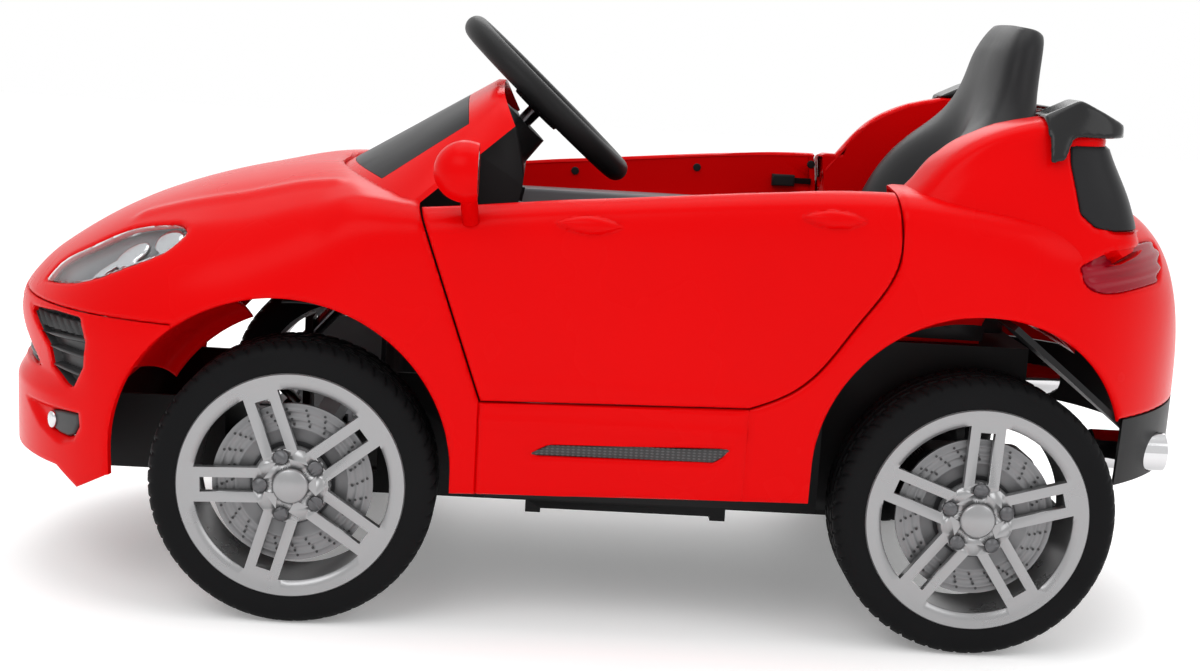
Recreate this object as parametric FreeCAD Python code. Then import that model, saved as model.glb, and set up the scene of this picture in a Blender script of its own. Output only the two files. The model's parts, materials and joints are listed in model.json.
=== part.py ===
import FreeCAD, Part
import math
import os

V = FreeCAD.Vector
os.makedirs("parts", exist_ok=True)

# Driving dimensions of the car, in millimetres, with the front at -X and the ground at Z = 0
wheelbase = 575.0
front_overhang = 278.0
rear_overhang = 216.0
body_width = 540.0
cowl_height = 380.0
tyre_diameter = 240.0
tyre_width = 70.0
track_half = 219.0
wall = 4.0
body_floor = 92.0

# Clearances between neighbouring pieces
panel_gap = 2.5
seat_gap = 0.4
run_gap = 0.06
loose_gap = 1.0

body_length = front_overhang + wheelbase + rear_overhang
nose_x = -body_length / 2
tail_x = body_length / 2
front_axle_x = nose_x + front_overhang
rear_axle_x = front_axle_x + wheelbase
axle_z = tyre_diameter / 2
body_half = body_width / 2
side_reach = body_width


# Helpers
def along(table, at):
    """Value of a smooth guide line through a table of (place, value) pairs, without overshoot."""
    count = len(table)
    steps = [table[i + 1][0] - table[i][0] for i in range(count - 1)]
    slopes = [(table[i + 1][1] - table[i][1]) / steps[i] for i in range(count - 1)]
    bends = [slopes[0]]
    for i in range(1, count - 1):
        a, b = slopes[i - 1], slopes[i]
        bends.append(2 * a * b / (a + b) if a * b > 0 else 0.0)
    bends.append(slopes[-1])
    i = 0
    while i < count - 2 and at > table[i + 1][0]:
        i += 1
    t = (at - table[i][0]) / steps[i]
    rise = table[i + 1][1] - table[i][1]
    first, last = bends[i] * steps[i], bends[i + 1] * steps[i]
    return (table[i][1] + first * t + (3 * rise - 2 * first - last) * t * t
            + (first + last - 2 * rise) * t * t * t)


def place(share, height_share):
    """Point in the side view, from shares of the body length and the cowl height."""
    return V(nose_x + share * body_length, 0, height_share * cowl_height)


def smooth(points, closed=False):
    curve = Part.BSplineCurve()
    curve.interpolate(points, PeriodicFlag=closed)
    return curve.toShape()


def face_of(*edges):
    return Part.Face(Part.Wire(Part.__sortEdges__(list(edges))))


def polygon(points):
    return Part.Face(Part.makePolygon(points + points[:1]))


def across(face, y_from, y_to):
    """Prism from a face in the side view, from one Y to another."""
    moved = face.copy()
    moved.translate(V(0, y_from, 0))
    return moved.extrude(V(0, y_to - y_from, 0))


def box(x_from, x_to, y_from, y_to, z_from, z_to):
    return Part.makeBox(x_to - x_from, y_to - y_from, z_to - z_from, V(x_from, y_from, z_from))


def rod(start, end, radius):
    reach = end - start
    return Part.makeCylinder(radius, reach.Length, start, reach)


def tube(start, end, outer, inner):
    return rod(start, end, outer).cut(rod(start, end, inner))


def mirrored(shape):
    return shape.mirror(V(0, 0, 0), V(0, 1, 0))


def both_sides(shape):
    return [shape, mirrored(shape)]


def biggest(shape):
    """Largest solid of a cut, so that no loose sliver is kept."""
    return max(shape.Solids, key=lambda solid: solid.Volume)


def save(node, *shapes):
    shape = shapes[0] if len(shapes) == 1 else Part.makeCompound(list(shapes))
    shape.exportStep("parts/" + node + ".step")


# Lower body: one smooth form from nose to tail that every body panel is cut from
nose_flat = 20.0
nose_round = 230.0
tail_flat = 20.0
tail_round = 200.0
plan_power = 2.0
top_shares = [(0, 0.655), (0.036, 0.755), (0.111, 0.88), (0.195, 0.953), (0.271, 0.99), (0.35, 0.955),
              (0.472, 0.985), (0.715, 1.037), (0.893, 1.016), (0.935, 0.995), (0.958, 0.955),
              (0.974, 0.895), (0.986, 0.80), (1, 0.62)]
side_shares = [(0, 0.985), (0.26, 0.99), (0.42, 0.972), (0.6, 0.98), (0.78, 1.0), (1, 0.985)]
wide_shares = [(0, 0.53), (0.26, 0.62), (0.42, 0.745), (0.6, 0.76), (0.8, 0.78), (0.95, 0.67), (1, 0.56)]
corner_powers = [(0, 2.6), (0.09, 2.8), (0.2, 3.0), (0.27, 4.0), (0.33, 8.0), (0.42, 10.0), (0.7, 10.0),
                 (0.78, 7.0), (0.87, 4.5), (0.95, 3.2), (1, 2.8)]
tuck_shares = [(0, 0.09), (0.3, 0.06), (0.7, 0.06), (1, 0.12)]
station_shares = [0, 0.004, 0.012, 0.025, 0.045, 0.075, 0.115, 0.16, 0.21, 0.26, 0.3, 0.345, 0.4,
                  0.5, 0.6, 0.68, 0.74, 0.8, 0.86, 0.905, 0.935, 0.958, 0.974, 0.986, 0.995, 1]
turn_shares = [0, 1 / 6, 1 / 3, 1 / 2, 2 / 3, 5 / 6]


def half_width(share):
    """Half width of the lower body at a share of its length, rounded in plan at nose and tail."""
    full = along(side_shares, share) * body_half
    near_nose = min(1.0, share * body_length / nose_round)
    near_tail = min(1.0, (1 - share) * body_length / tail_round)
    grown = (1 - (1 - near_nose) ** plan_power) ** (1 / plan_power)
    shrunk = (1 - (1 - near_tail) ** plan_power) ** (1 / plan_power)
    front = nose_flat + (full - nose_flat) * grown
    return tail_flat + (front - tail_flat) * shrunk


def body_form(skin):
    """The lower body as a solid, set in by a skin thickness."""
    wires = []
    foot = body_floor if skin == 0 else body_floor - wall
    for share in station_shares:
        x = (nose_x + share * body_length) * (1 - skin / tail_x)
        half = half_width(share) - skin
        top = along(top_shares, share) * cowl_height - skin
        wide = along(wide_shares, share) * cowl_height
        power = 2 / along(corner_powers, share)
        low = half * (1 - along(tuck_shares, share))
        middle = (half * 3 + low) / 4
        right = [V(x, low, foot), V(x, middle, (foot + wide) / 2)]
        for turn in turn_shares:
            angle = turn * math.pi / 2
            rise = (top - wide) * math.sin(angle) ** power
            right.append(V(x, half * math.cos(angle) ** power, wide + rise))
        left = [V(p.x, -p.y, p.z) for p in right]
        outline = smooth(left + [V(x, 0, top)] + right[::-1])
        wires.append(Part.Wire([outline, Part.makeLine(right[0], left[0])]))
    return Part.makeLoft(wires, True, False)


outer_body = body_form(0)
inner_body = body_form(wall)
body_shell = outer_body.cut(inner_body)


# Side-view outlines of the body panels
door_low_shares = (0.4027, 0.5237)
door_top_shares = (0.3251, 1.1316)
door_rear_shares = [(0.6113, 0.5395), (0.6487, 0.592), (0.6908, 0.742), (0.718, 0.876), (0.7161, 1.016),
                  (0.7151, 1.1316)]
bumper_line_share = 0.66
bumper_end_share = 0.165
ahead_share = -0.05
behind_share = 1.05
far_share = 1.6
under_shares = [(ahead_share, 0.29), (0.062, 0.29), (0.0825, 0.25), (0.112, 0.3), (0.38, 0.313),
              (0.665, 0.334), (0.895, 0.334), (0.91, 0.547), (behind_share, 0.566)]
front_arch_radius = 144.0
front_arch_ahead = 13.0
front_arch_lift = 14.0
rear_arch_radius = 136.0
rear_arch_ahead = 8.0
rear_arch_lift = 38.0


def arch_cut(x, z, radius):
    round_part = rod(V(x, -side_reach, z), V(x, side_reach, z), radius)
    return round_part.fuse(box(x - radius, x + radius, -side_reach, side_reach, 0, z))


def side_face(shares):
    return polygon([place(*pair) for pair in shares])


def leaf_face(lower, upper):
    """Face between two smooth lines that meet at both ends."""
    return face_of(smooth([place(*pair) for pair in lower]), smooth([place(*pair) for pair in upper]))


def grown(face, by):
    """Side-view face with its outline moved out, or in where negative."""
    return face.makeOffset2D(by).toNurbs().Faces[0]


front_arch_x = front_axle_x - front_arch_ahead
front_arch_z = axle_z + front_arch_lift
rear_arch_x = rear_axle_x - rear_arch_ahead
rear_arch_z = axle_z + rear_arch_lift
door_rear_points = [place(*pair) for pair in door_rear_shares]
door_low = place(*door_low_shares)
door_top = place(*door_top_shares)
door_face = face_of(Part.makeLine(door_low, door_rear_points[0]), smooth(door_rear_points),
                    Part.makeLine(door_rear_points[-1], door_top), Part.makeLine(door_top, door_low))
door_opening = across(door_face, -side_reach, side_reach)
under_face = side_face([(ahead_share, 0)] + under_shares + [(behind_share, 0)])
under_cut = across(under_face, -side_reach, side_reach)
arches = [arch_cut(front_arch_x, front_arch_z, front_arch_radius),
          arch_cut(rear_arch_x, rear_arch_z, rear_arch_radius)]
trimmed_shell = body_shell.cut(arches + [under_cut])

# Front body: bonnet and wings in one moulding, open behind for the windscreen and the dashboard
cowl_shares = [(0.339, -0.8), (0.308, -0.63), (0.285, -0.41), (0.27, 0), (0.285, 0.41), (0.308, 0.63),
             (0.339, 0.8)]
cowl_back_share = 0.45
cowl_low_share = 0.6
headlight_lower_shares = [(0.0557, 0.721), (0.0837, 0.7237), (0.1539, 0.8158), (0.1726, 0.8553)]
headlight_upper_shares = [(0.1726, 0.8553), (0.138, 0.8553), (0.094, 0.7947), (0.0557, 0.721)]
lamp_inner_share = 0.3
lamp_seat = 4.0
lamp_depth = 5.0


def plan_point(share, half_share, z):
    return V(nose_x + share * body_length, half_share * body_half, z)


def side_prism(face, inner_share=lamp_inner_share):
    """Prism through the near side wall only."""
    return across(face, -side_reach, -inner_share * body_half)


def lining(face, shift):
    """Thin skin just inside the wall, behind a side-view outline."""
    moved = inner_body.copy()
    moved.translate(shift)
    return biggest(inner_body.common(side_prism(face)).cut(moved))


cowl_low = cowl_low_share * cowl_height
cowl_points = [plan_point(a, b, cowl_low) for a, b in cowl_shares]
cowl_ends = [plan_point(cowl_back_share, cowl_shares[-1][1], cowl_low),
             plan_point(cowl_back_share, cowl_shares[0][1], cowl_low)]
cowl_face = face_of(smooth(cowl_points), Part.makeLine(cowl_points[-1], cowl_ends[0]),
                    Part.makeLine(cowl_ends[0], cowl_ends[1]),
                    Part.makeLine(cowl_ends[1], cowl_points[0]))
cowl_cut = cowl_face.extrude(V(0, 0, cowl_height))
front_face = side_face([(ahead_share, 0), (door_low_shares[0], 0), door_low_shares, door_top_shares,
                        (door_top_shares[0], far_share), (ahead_share, far_share)])
front_zone = across(front_face, -side_reach, side_reach)
bumper_face = side_face([(ahead_share, 0), (bumper_end_share, 0), (bumper_end_share, bumper_line_share),
                         (ahead_share, bumper_line_share)])
bumper_zone = across(bumper_face, -side_reach, side_reach)
headlight_face = leaf_face(headlight_lower_shares, headlight_upper_shares)
headlight_holes = both_sides(side_prism(headlight_face))
front_shell = trimmed_shell.common(front_zone)
front_body = biggest(front_shell.cut([bumper_zone, cowl_cut] + headlight_holes))
save("front_body", front_body)
lens = body_shell.common(side_prism(grown(headlight_face, -seat_gap)))
save("headlight_lenses", *both_sides(biggest(lens)))
reflector = lining(grown(headlight_face, lamp_seat), V(lamp_depth, lamp_depth, -lamp_depth))
save("headlight_reflectors", *both_sides(reflector))

# Front bumper with its grille, side vents and fog lamps
vent_shares = [(0.0388, 0.6474), (0.0903, 0.6421), (0.0847, 0.4921), (0.0547, 0.5684)]
vent_flange = 3.0
vent_depth = 3.0
vent_slat = 4.0
vent_slat_shares = [(0.525, 0.0726, 0.0852), (0.56, 0.0588, 0.0866)]
vent_fin_shares = [0.0545, 0.0635, 0.0725, 0.0815]
vent_fin_low_share = 0.59
vent_fin_high_share = 0.64
vent_fin_lean_share = -0.0095
vent_fin_wide_share = 0.004
fog_shares = [(0.0557, 0.37), (0.0865, 0.375), (0.0865, 0.445), (0.0557, 0.435)]
fog_radius = 9.5
fog_reach = 9.0
fog_share = (0.0711, 0.405)
fog_sink = 10.0
grille_half = 100.0
grille_low = 172.0
grille_high = 238.0
grille_depth = 10.0
grille_set = 2.0
grille_frame = 7.0
grille_bars = 4
grille_bar = 4.0
bumper_seam = 0.8

vent_face = side_face(vent_shares)
fog_face = side_face(fog_shares)
bumper_front = box(nose_x - wall, nose_x + nose_round, -grille_half, grille_half, grille_low, grille_high)
bumper_holes = both_sides(side_prism(vent_face)) + both_sides(side_prism(fog_face))
bumper_low = bumper_zone.copy()
bumper_low.translate(V(0, 0, -bumper_seam))
bumper = biggest(trimmed_shell.common(bumper_low).cut(bumper_holes + [bumper_front]))
save("front_bumper", bumper)

vent_inside = V(vent_depth, vent_depth, 0)
vent = lining(grown(vent_face, vent_flange), vent_inside)
bar_back = wall + vent_depth / 2


def wall_half(share, z):
    """Half width of the lower body at a share of its length and a height."""
    wide = along(wide_shares, share) * cowl_height
    top = along(top_shares, share) * cowl_height
    if z > wide:
        power = along(corner_powers, share)
        return half_width(share) * (1 - ((z - wide) / (top - wide)) ** power) ** (1 / power)
    fall = (wide - z) / (wide - body_floor)
    return half_width(share) * (1 - along(tuck_shares, share) * fall ** 2)


def wall_strip(share_from, share_to, z):
    """Outline in plan of a bar just under the near wall, at a height."""
    points = []
    for share, depth in ((share_from, loose_gap), (share_to, loose_gap), (share_to, bar_back),
                         (share_from, bar_back)):
        points.append(V(nose_x + share * body_length, depth - wall_half(share, z), z))
    return Part.makePolygon(points + points[:1])


bars = []
for height_share, share_from, share_to in vent_slat_shares:
    foot_wire = wall_strip(share_from, share_to, height_share * cowl_height)
    bars.append(Part.Face(foot_wire).extrude(V(0, 0, vent_slat)))
for share in vent_fin_shares:
    top_share = share + vent_fin_lean_share
    foot_wire = wall_strip(share, share + vent_fin_wide_share, vent_fin_low_share * cowl_height)
    head_wire = wall_strip(top_share, top_share + vent_fin_wide_share, vent_fin_high_share * cowl_height)
    bars.append(Part.makeLoft([foot_wire, head_wire], True, True))
save("side_vents", *both_sides(biggest(vent.fuse(bars))))

fog = lining(grown(fog_face, vent_flange), vent_inside)
fog_at = place(*fog_share)
fog_at.y = fog_sink - half_width(fog_share[0])
fog_out = V(-1, -1, 0).normalize()
fog_lamp = rod(fog_at + fog_out * fog_reach, fog_at - fog_out * fog_reach, fog_radius)
save("fog_lamps", *both_sides(biggest(fog.fuse(fog_lamp).removeSplitter())))

nose_side = (grille_half - nose_flat) / (body_half - nose_flat)
nose_drop = nose_round * (1 - (1 - nose_side ** plan_power) ** (1 / plan_power))
grille_side = grille_half - seat_gap
grille_foot = grille_low + seat_gap


def grille_corners(back):
    """Two ends and the middle of an arc in plan that follows the nose, set back from it."""
    x = nose_x + back
    return (V(x + nose_drop, -grille_side, grille_foot), V(x, 0, grille_foot),
            V(x + nose_drop, grille_side, grille_foot))


near_arc = grille_corners(grille_set)
far_arc = grille_corners(grille_set + grille_depth)
grille_plan = face_of(Part.Arc(*near_arc).toShape(), Part.makeLine(near_arc[2], far_arc[2]),
                      Part.Arc(*far_arc[::-1]).toShape(), Part.makeLine(far_arc[0], near_arc[0]))
grille = grille_plan.extrude(V(0, 0, grille_high - seat_gap - grille_foot))
window_high = (grille_high - grille_low - 2 * grille_frame - (grille_bars - 1) * grille_bar) / grille_bars
for k in range(grille_bars):
    z = grille_low + grille_frame + k * (window_high + grille_bar)
    grille = grille.cut(box(nose_x - wall, tail_x, grille_frame - grille_half,
                            grille_half - grille_frame, z, z + window_high))
save("front_grille", grille)

# Sills under the doors, each with a let-in trim strip
trim_shares = [(0.4401, 0.4105), (0.4579, 0.4368), (0.6024, 0.45), (0.5879, 0.4158)]
trim_depth = 2.0
sill_face = side_face([(door_low_shares[0], 0), (door_rear_shares[0][0], 0), door_rear_shares[0],
                       door_low_shares])
sill_zone = across(sill_face, -side_reach, 0)


def surface_skin(face, depth):
    """Skin of the outer form inside a side-view outline, to a depth."""
    moved = outer_body.copy()
    moved.translate(V(0, depth, 0))
    return biggest(outer_body.common(side_prism(face)).cut(moved))


trim_face = side_face(trim_shares)
sill = biggest(trimmed_shell.common(sill_zone).cut(surface_skin(trim_face, trim_depth)))
save("sills", *both_sides(sill))
trim = surface_skin(grown(trim_face, -seat_gap), trim_depth - run_gap)
save("sill_trims", *both_sides(trim))

# Sliding door latch, whose tongue reaches a keeper slot in the rear body
latch_share = (0.684, 0.947)
latch_length = 24.0
tongue_length = 30.0
latch_height = 12.0
latch_rise = 9.0
tongue_height = 6.0
tongue_thick = 4.0
keeper_room = 2.0
keeper_depth = 24.0
door_inner_y = 238.0

# Rear body: tail, haunches and upper quarters as one hollow moulding round the cabin
upper_shares = [(0.9, 0.69, 0.927, 0.955), (1.0316, 0.7245, 0.91, 0.93), (1.118, 0.7507, 0.8945, 0.9),
                (1.179, 0.79, 0.884, 0.868), (1.205, 0.8274, 0.8789, 0.826)]
upper_power = 6
upper_points = 20
cabin_half = 190.0
cabin_behind = 81.5
seat_deck_z = 258.0
tail_inner_share = 0.5
tail_lamp_lower_shares = [(0.8686, 0.8816), (0.8779, 0.8316), (0.91, 0.834), (0.9443, 0.8395)]
tail_lamp_upper_shares = [(0.9443, 0.8395), (0.9312, 0.9316), (0.9, 0.912), (0.8686, 0.8816)]
rear_glass_shares = [(0.8545, 1.15), (behind_share, 1.158), (behind_share, 0.968), (0.884, 0.968),
                     (0.872, 0.985), (0.864, 1.022), (0.8545, 1.113)]
rear_glass_depth = 3.0


def upper_form(skin, lift=0.0, tail_out=0.0):
    """Upper quarters as a solid, set in by a skin thickness, with the top lifted and the tail let out."""
    wires = []
    for level, (z_share, front, rear, half) in enumerate(upper_shares):
        last = level == len(upper_shares) - 1
        z = z_share * cowl_height + (lift - skin if last else 0.0)
        x_front = nose_x + front * body_length + skin
        x_rear = nose_x + rear * body_length - skin + tail_out
        middle, reach = (x_front + x_rear) / 2, (x_rear - x_front) / 2
        side = half * body_half - skin
        points = []
        for k in range(upper_points):
            angle = 2 * math.pi * (k + 0.5) / upper_points
            cos, sin = math.cos(angle), math.sin(angle)
            points.append(V(middle + reach * math.copysign(abs(cos) ** (2 / upper_power), cos),
                            side * math.copysign(abs(sin) ** (2 / upper_power), sin), z))
        wires.append(Part.Wire([smooth(points, True)]))
    return Part.makeLoft(wires, True, False)


rear_start = place(*door_rear_shares[0]).x
rear_zone = box(rear_start, tail_x + wall, -side_reach, side_reach, 0, far_share * cowl_height)
upper = upper_form(0)
cabin_rear_x = rear_axle_x + cabin_behind
cabin_space = box(rear_start - wall, cabin_rear_x, -cabin_half, cabin_half, seat_deck_z,
                  far_share * cowl_height)
cabin_block = box(rear_start - wall, cabin_rear_x + wall, -cabin_half - wall, cabin_half + wall,
                  seat_deck_z - wall, far_share * cowl_height)
jamb = across(grown(door_face, wall), -side_reach, side_reach)
hollow = inner_body.common(rear_zone).fuse(upper_form(wall)).cut([cabin_block, jamb])
rear_solid = outer_body.common(rear_zone).fuse(upper)
tail_lamp_face = leaf_face(tail_lamp_lower_shares, tail_lamp_upper_shares)
tail_lamp_holes = both_sides(side_prism(tail_lamp_face, tail_inner_share))
glass_face = side_face(rear_glass_shares)
glass_core = upper_form(rear_glass_depth)
glass_zone = across(glass_face, -side_reach, side_reach)
under_deck = box(rear_start - wall, cabin_rear_x, -cabin_half, cabin_half, 0, seat_deck_z - wall)
rear_body = rear_solid.cut([hollow, cabin_space, under_deck, door_opening, under_cut] + arches
                           + tail_lamp_holes)
rear_body = rear_body.cut(upper.common(glass_zone).cut(glass_core))
glass_small = across(grown(glass_face, -seat_gap), -side_reach, side_reach)
rear_glass = upper.common(glass_small).cut([upper_form(rear_glass_depth - run_gap), outer_body])
save("rear_window", biggest(rear_glass))
tail_lamp = body_shell.common(side_prism(grown(tail_lamp_face, -seat_gap), tail_inner_share))
save("tail_lights", *both_sides(biggest(tail_lamp)))

# Spoiler that caps the rear edge of the upper quarters
spoiler_shares = [(0.8293, 1.1105), (0.8255, 1.209), (0.8535, 1.248), (0.898, 1.19), (0.895, 1.168),
                  (0.848, 1.165), (0.841, 1.113)]
spoiler_skin = 5.0
spoiler_lift = 14.0
spoiler_tail = 12.0
spoiler_zone = across(side_face(spoiler_shares), -side_reach, side_reach)
spoiler = upper_form(-spoiler_skin, spoiler_lift, spoiler_tail).common(spoiler_zone)
spoiler = spoiler.cut([upper_form(-seat_gap), cabin_space])
save("spoiler", biggest(spoiler))

# Rear diffuser under the tail, with the two exhaust tips through it
diffuser_shares = [(0.913, 0.39), (behind_share, 0.41), (behind_share, 0.564), (0.913, 0.545)]
exhaust_radius = 17.0
exhaust_wall = 2.0
exhaust_side = 172.0
exhaust_z = 170.0
exhaust_start = 102.5
exhaust_end = 38.0
diffuser = body_shell.common(across(side_face(diffuser_shares), -side_reach, side_reach))
exhaust_from = V(tail_x - exhaust_start, -exhaust_side, exhaust_z)
exhaust_to = V(tail_x - exhaust_end, -exhaust_side, exhaust_z)
exhaust_hole = rod(exhaust_from, exhaust_to + V(wall, 0, 0) * wall, exhaust_radius + seat_gap)
save("rear_diffuser", biggest(diffuser.cut(both_sides(exhaust_hole))))
exhaust = tube(exhaust_from, exhaust_to, exhaust_radius, exhaust_radius - exhaust_wall)
save("exhaust_tips", *both_sides(exhaust))

# Doors: a moulded slab with a pocket inside, closed by a screwed liner
door_rim = 6.0
liner_thick = 3.0
handle_shares = [(0.4803, 0.924), (0.6656, 0.966)]
handle_size = (54.0, 9.0, 13.0)
hinge_shares = [0.64, 0.82]
hinge_back = 30.0
hinge_side = 251.5
hinge_pin_radius = 2.0
hinge_eye_radius = 4.5
hinge_eye_height = 12.0
hinge_rib = 4.0
hinge_rib_reach = 6.0
hinge_arm = 6.0
notch_side = 5.5
post_side = 214.0
post_thick = 6.0
armrest_low_shares = (0.421, 0.835)
armrest_high_shares = (0.635, 0.89)
armrest_reach = 30.0
armrest_groove = 4.0


def ball(centre, size):
    """Ellipsoid of three sizes about a centre."""
    stretch = FreeCAD.Matrix()
    stretch.scale(size[0] / 2, size[1] / 2, size[2] / 2)
    shape = Part.makeSphere(1).transformGeometry(stretch)
    shape.translate(centre)
    return shape


hinge_lean = (door_top - door_low).normalize()
hinge_back_way = V(hinge_lean.z, 0, -hinge_lean.x)


def hinge_point(share):
    """Point on the hinge line, which runs behind the front shut line at the same slant."""
    on_line = door_low + hinge_lean * ((share * cowl_height - door_low.z) / hinge_lean.z)
    return on_line + hinge_back_way * hinge_back + V(0, -hinge_side, 0)


def hinge_block(share, back_from, back_to, up_from, up_to, y_from, y_to):
    """Block beside the hinge line, in its slanted directions."""
    flat = hinge_point(share)
    flat.y = 0
    spots = [(back_from, up_from), (back_to, up_from), (back_to, up_to), (back_from, up_to)]
    corners = [flat + hinge_back_way * a + hinge_lean * b for a, b in spots]
    return across(polygon(corners), y_from, y_to)


door_inset = grown(door_face, -panel_gap)
door_slab = biggest(outer_body.common(across(door_inset, -side_reach, -door_inner_y)))
pocket_face = grown(door_face, -panel_gap - door_rim)
pocket = across(pocket_face, -side_reach, -door_inner_y).common(inner_body)
eye_half = hinge_eye_height / 2
notch_half = eye_half + loose_gap
notches = []
ribs = []
pins = []
brackets = []
for share in hinge_shares:
    at = hinge_point(share)
    notches.append(hinge_block(share, -hinge_back - door_rim, hinge_rib_reach, -notch_half, notch_half,
                               -hinge_side - notch_side, 0))
    for low in (-notch_half - hinge_rib, notch_half):
        rib = hinge_block(share, -hinge_rib_reach, hinge_rib_reach, low, low + hinge_rib,
                          -hinge_side - notch_side - wall, -hinge_side + hinge_rib_reach)
        ribs.append(rib)
    reach = hinge_lean * (notch_half + hinge_rib)
    pins.append(rod(at - reach, at + reach, hinge_pin_radius))
    eye = rod(at - hinge_lean * eye_half, at + hinge_lean * eye_half, hinge_eye_radius)
    arm = hinge_block(share, -hinge_arm / 2, hinge_arm / 2, -eye_half, eye_half, -hinge_side, -post_side)
    eye_bore = rod(at - hinge_lean * notch_half, at + hinge_lean * notch_half, hinge_pin_radius + run_gap)
    brackets.append(eye.fuse(arm).cut(eye_bore))
door = door_slab.cut([pocket] + notches)
for share in handle_shares:
    grip = place(*share)
    grip.y = -half_width(share[0])
    door = door.fuse(ball(grip, handle_size))
door = biggest(door.fuse([rib.common(outer_body) for rib in ribs] + pins).removeSplitter())
save("door_left", door)
save("door_right", mirrored(door))
liner_face = grown(door_face, -panel_gap - door_rim - seat_gap)
liner = across(liner_face, -door_inner_y - liner_thick, -door_inner_y).common(inner_body).cut(notches)
liner = biggest(liner.cut(ribs))
rest_low = place(*armrest_low_shares)
rest_high = place(*armrest_high_shares)
armrest = box(rest_low.x, rest_high.x, -door_inner_y + run_gap, -door_inner_y + armrest_reach,
              rest_low.z, rest_high.z)
rest_edges = [edge for edge in armrest.Edges if edge.BoundBox.YMin > -door_inner_y + wall]
armrest = armrest.makeFillet(armrest_groove, rest_edges)
groove_from = (armrest_reach - armrest_groove) / 2 - door_inner_y
armrest = armrest.cut(box(rest_low.x, rest_high.x, groove_from, groove_from + armrest_groove,
                          rest_high.z - armrest_groove, rest_high.z + armrest_groove))
save("door_liner_left", liner, armrest)
save("door_liner_right", mirrored(liner), mirrored(armrest))

latch_at = place(*latch_share)
latch_end = latch_at.x + tongue_length
latch_y = -door_inner_y + run_gap
knob = box(latch_at.x - latch_length / 2, latch_at.x + latch_length / 2, latch_y, latch_y + latch_rise,
           latch_at.z - latch_height / 2, latch_at.z + latch_height / 2)
knob = knob.makeFillet(keeper_room, [edge for edge in knob.Edges if edge.BoundBox.YMin > latch_y])
tongue = box(latch_at.x, latch_end, latch_y, latch_y + tongue_thick,
             latch_at.z - tongue_height / 2, latch_at.z + tongue_height / 2)
latch = knob.fuse(tongue).removeSplitter()
save("latch_left", latch)
save("latch_right", mirrored(latch))
keeper_half = tongue_height / 2 + keeper_room
keeper = box(latch_end - keeper_room, latch_end + keeper_depth, latch_y - keeper_room,
             latch_y + tongue_thick + keeper_room, latch_at.z - keeper_half, latch_at.z + keeper_half)
rear_body = biggest(rear_body.cut(both_sides(keeper)))
save("rear_body", rear_body)

# Door mirrors
mirror_share = (0.385, 1.026)
mirror_side = 274.0
mirror_size = (52.0, 50.0, 50.0)
mirror_face_back = 10.0
mirror_glass_thick = 2.5
mirror_glass_set = 1.5
mirror_glass_radius = 18.0
mirror_foot_share = (0.39, 0.915)
mirror_foot_side = 258.0
mirror_stalk = 7.0
mirror_at = place(*mirror_share)
mirror_at.y = -mirror_side
mirror_foot = place(*mirror_foot_share)
mirror_foot.y = -mirror_foot_side
glass_x = mirror_at.x + mirror_face_back
behind_glass = box(glass_x, tail_x, -side_reach, 0, 0, far_share * cowl_height)
housing = ball(mirror_at, mirror_size).cut(behind_glass)
housing = housing.fuse(rod(mirror_foot, mirror_at, mirror_stalk)).cut(door)
glass_from = V(glass_x - mirror_glass_thick, mirror_at.y, mirror_at.z)
glass_to = V(glass_x + mirror_glass_set, mirror_at.y, mirror_at.z)
housing = biggest(housing.cut(rod(glass_from, glass_to + V(tail_x, 0, 0), mirror_glass_radius)))
mirror_glass = rod(glass_from, glass_to - V(mirror_glass_set, 0, 0), mirror_glass_radius - seat_gap)
save("mirror_left", housing)
save("mirror_right", mirrored(housing))
save("mirror_glass_left", mirror_glass)
save("mirror_glass_right", mirrored(mirror_glass))

# Windscreen and its raked surround, between a base line on the cowl and a top edge
screen_base_plan_shares = [(0.2706, 0), (0.2856, 0.41), (0.3086, 0.629), (0.3396, 0.798)]
screen_top_plan_shares = [(0.4, 0), (0.4005, 0.3), (0.4035, 0.475), (0.412, 0.575)]
screen_base_shares = [0.976, 0.972, 0.958, 0.935]
screen_top_shares = [1.2, 1.19, 1.163, 1.11]
screen_set = 7.0
glass_lower_shares = [(0.28, 0), (0.292, 0.37), (0.314, 0.6)]
glass_upper_shares = [(0.381, 0.53), (0.378, 0.3), (0.3765, 0)]


def screen_edge(table, heights):
    """Smooth edge of the screen across the car, from half a table."""
    side = [plan_point(a, b, share * cowl_height) for (a, b), share in zip(table, heights)]
    return smooth([V(p.x, -p.y, p.z) for p in side[:0:-1]] + side)


screen_skin = Part.makeRuledSurface(screen_edge(screen_base_plan_shares, screen_base_shares),
                                    screen_edge(screen_top_plan_shares, screen_top_shares))
screen = screen_skin.extrude(V(screen_set, 0, 0))


def plan_prism(lower, upper, z_from, z_to):
    low = [plan_point(a, b, z_from) for a, b in lower]
    high = [plan_point(a, b, z_from) for a, b in upper]
    low = [V(p.x, -p.y, p.z) for p in low[:0:-1]] + low
    high = high + [V(p.x, -p.y, p.z) for p in high[-2::-1]]
    ends = [Part.makeLine(low[-1], high[0]), Part.makeLine(high[-1], low[0])]
    face = face_of(smooth(low), smooth(high), *ends)
    return face.extrude(V(0, 0, z_to - z_from)), face


glass_top = far_share * cowl_height
glass_prism, glass_plan = plan_prism(glass_lower_shares, glass_upper_shares, cowl_low, glass_top)
glass_inset = grown(glass_plan, -seat_gap).extrude(V(0, 0, glass_top - cowl_low))
surround = screen.cut(glass_prism)
save("windscreen_surround", biggest(surround))
save("windscreen", biggest(screen.common(glass_inset)))

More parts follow.
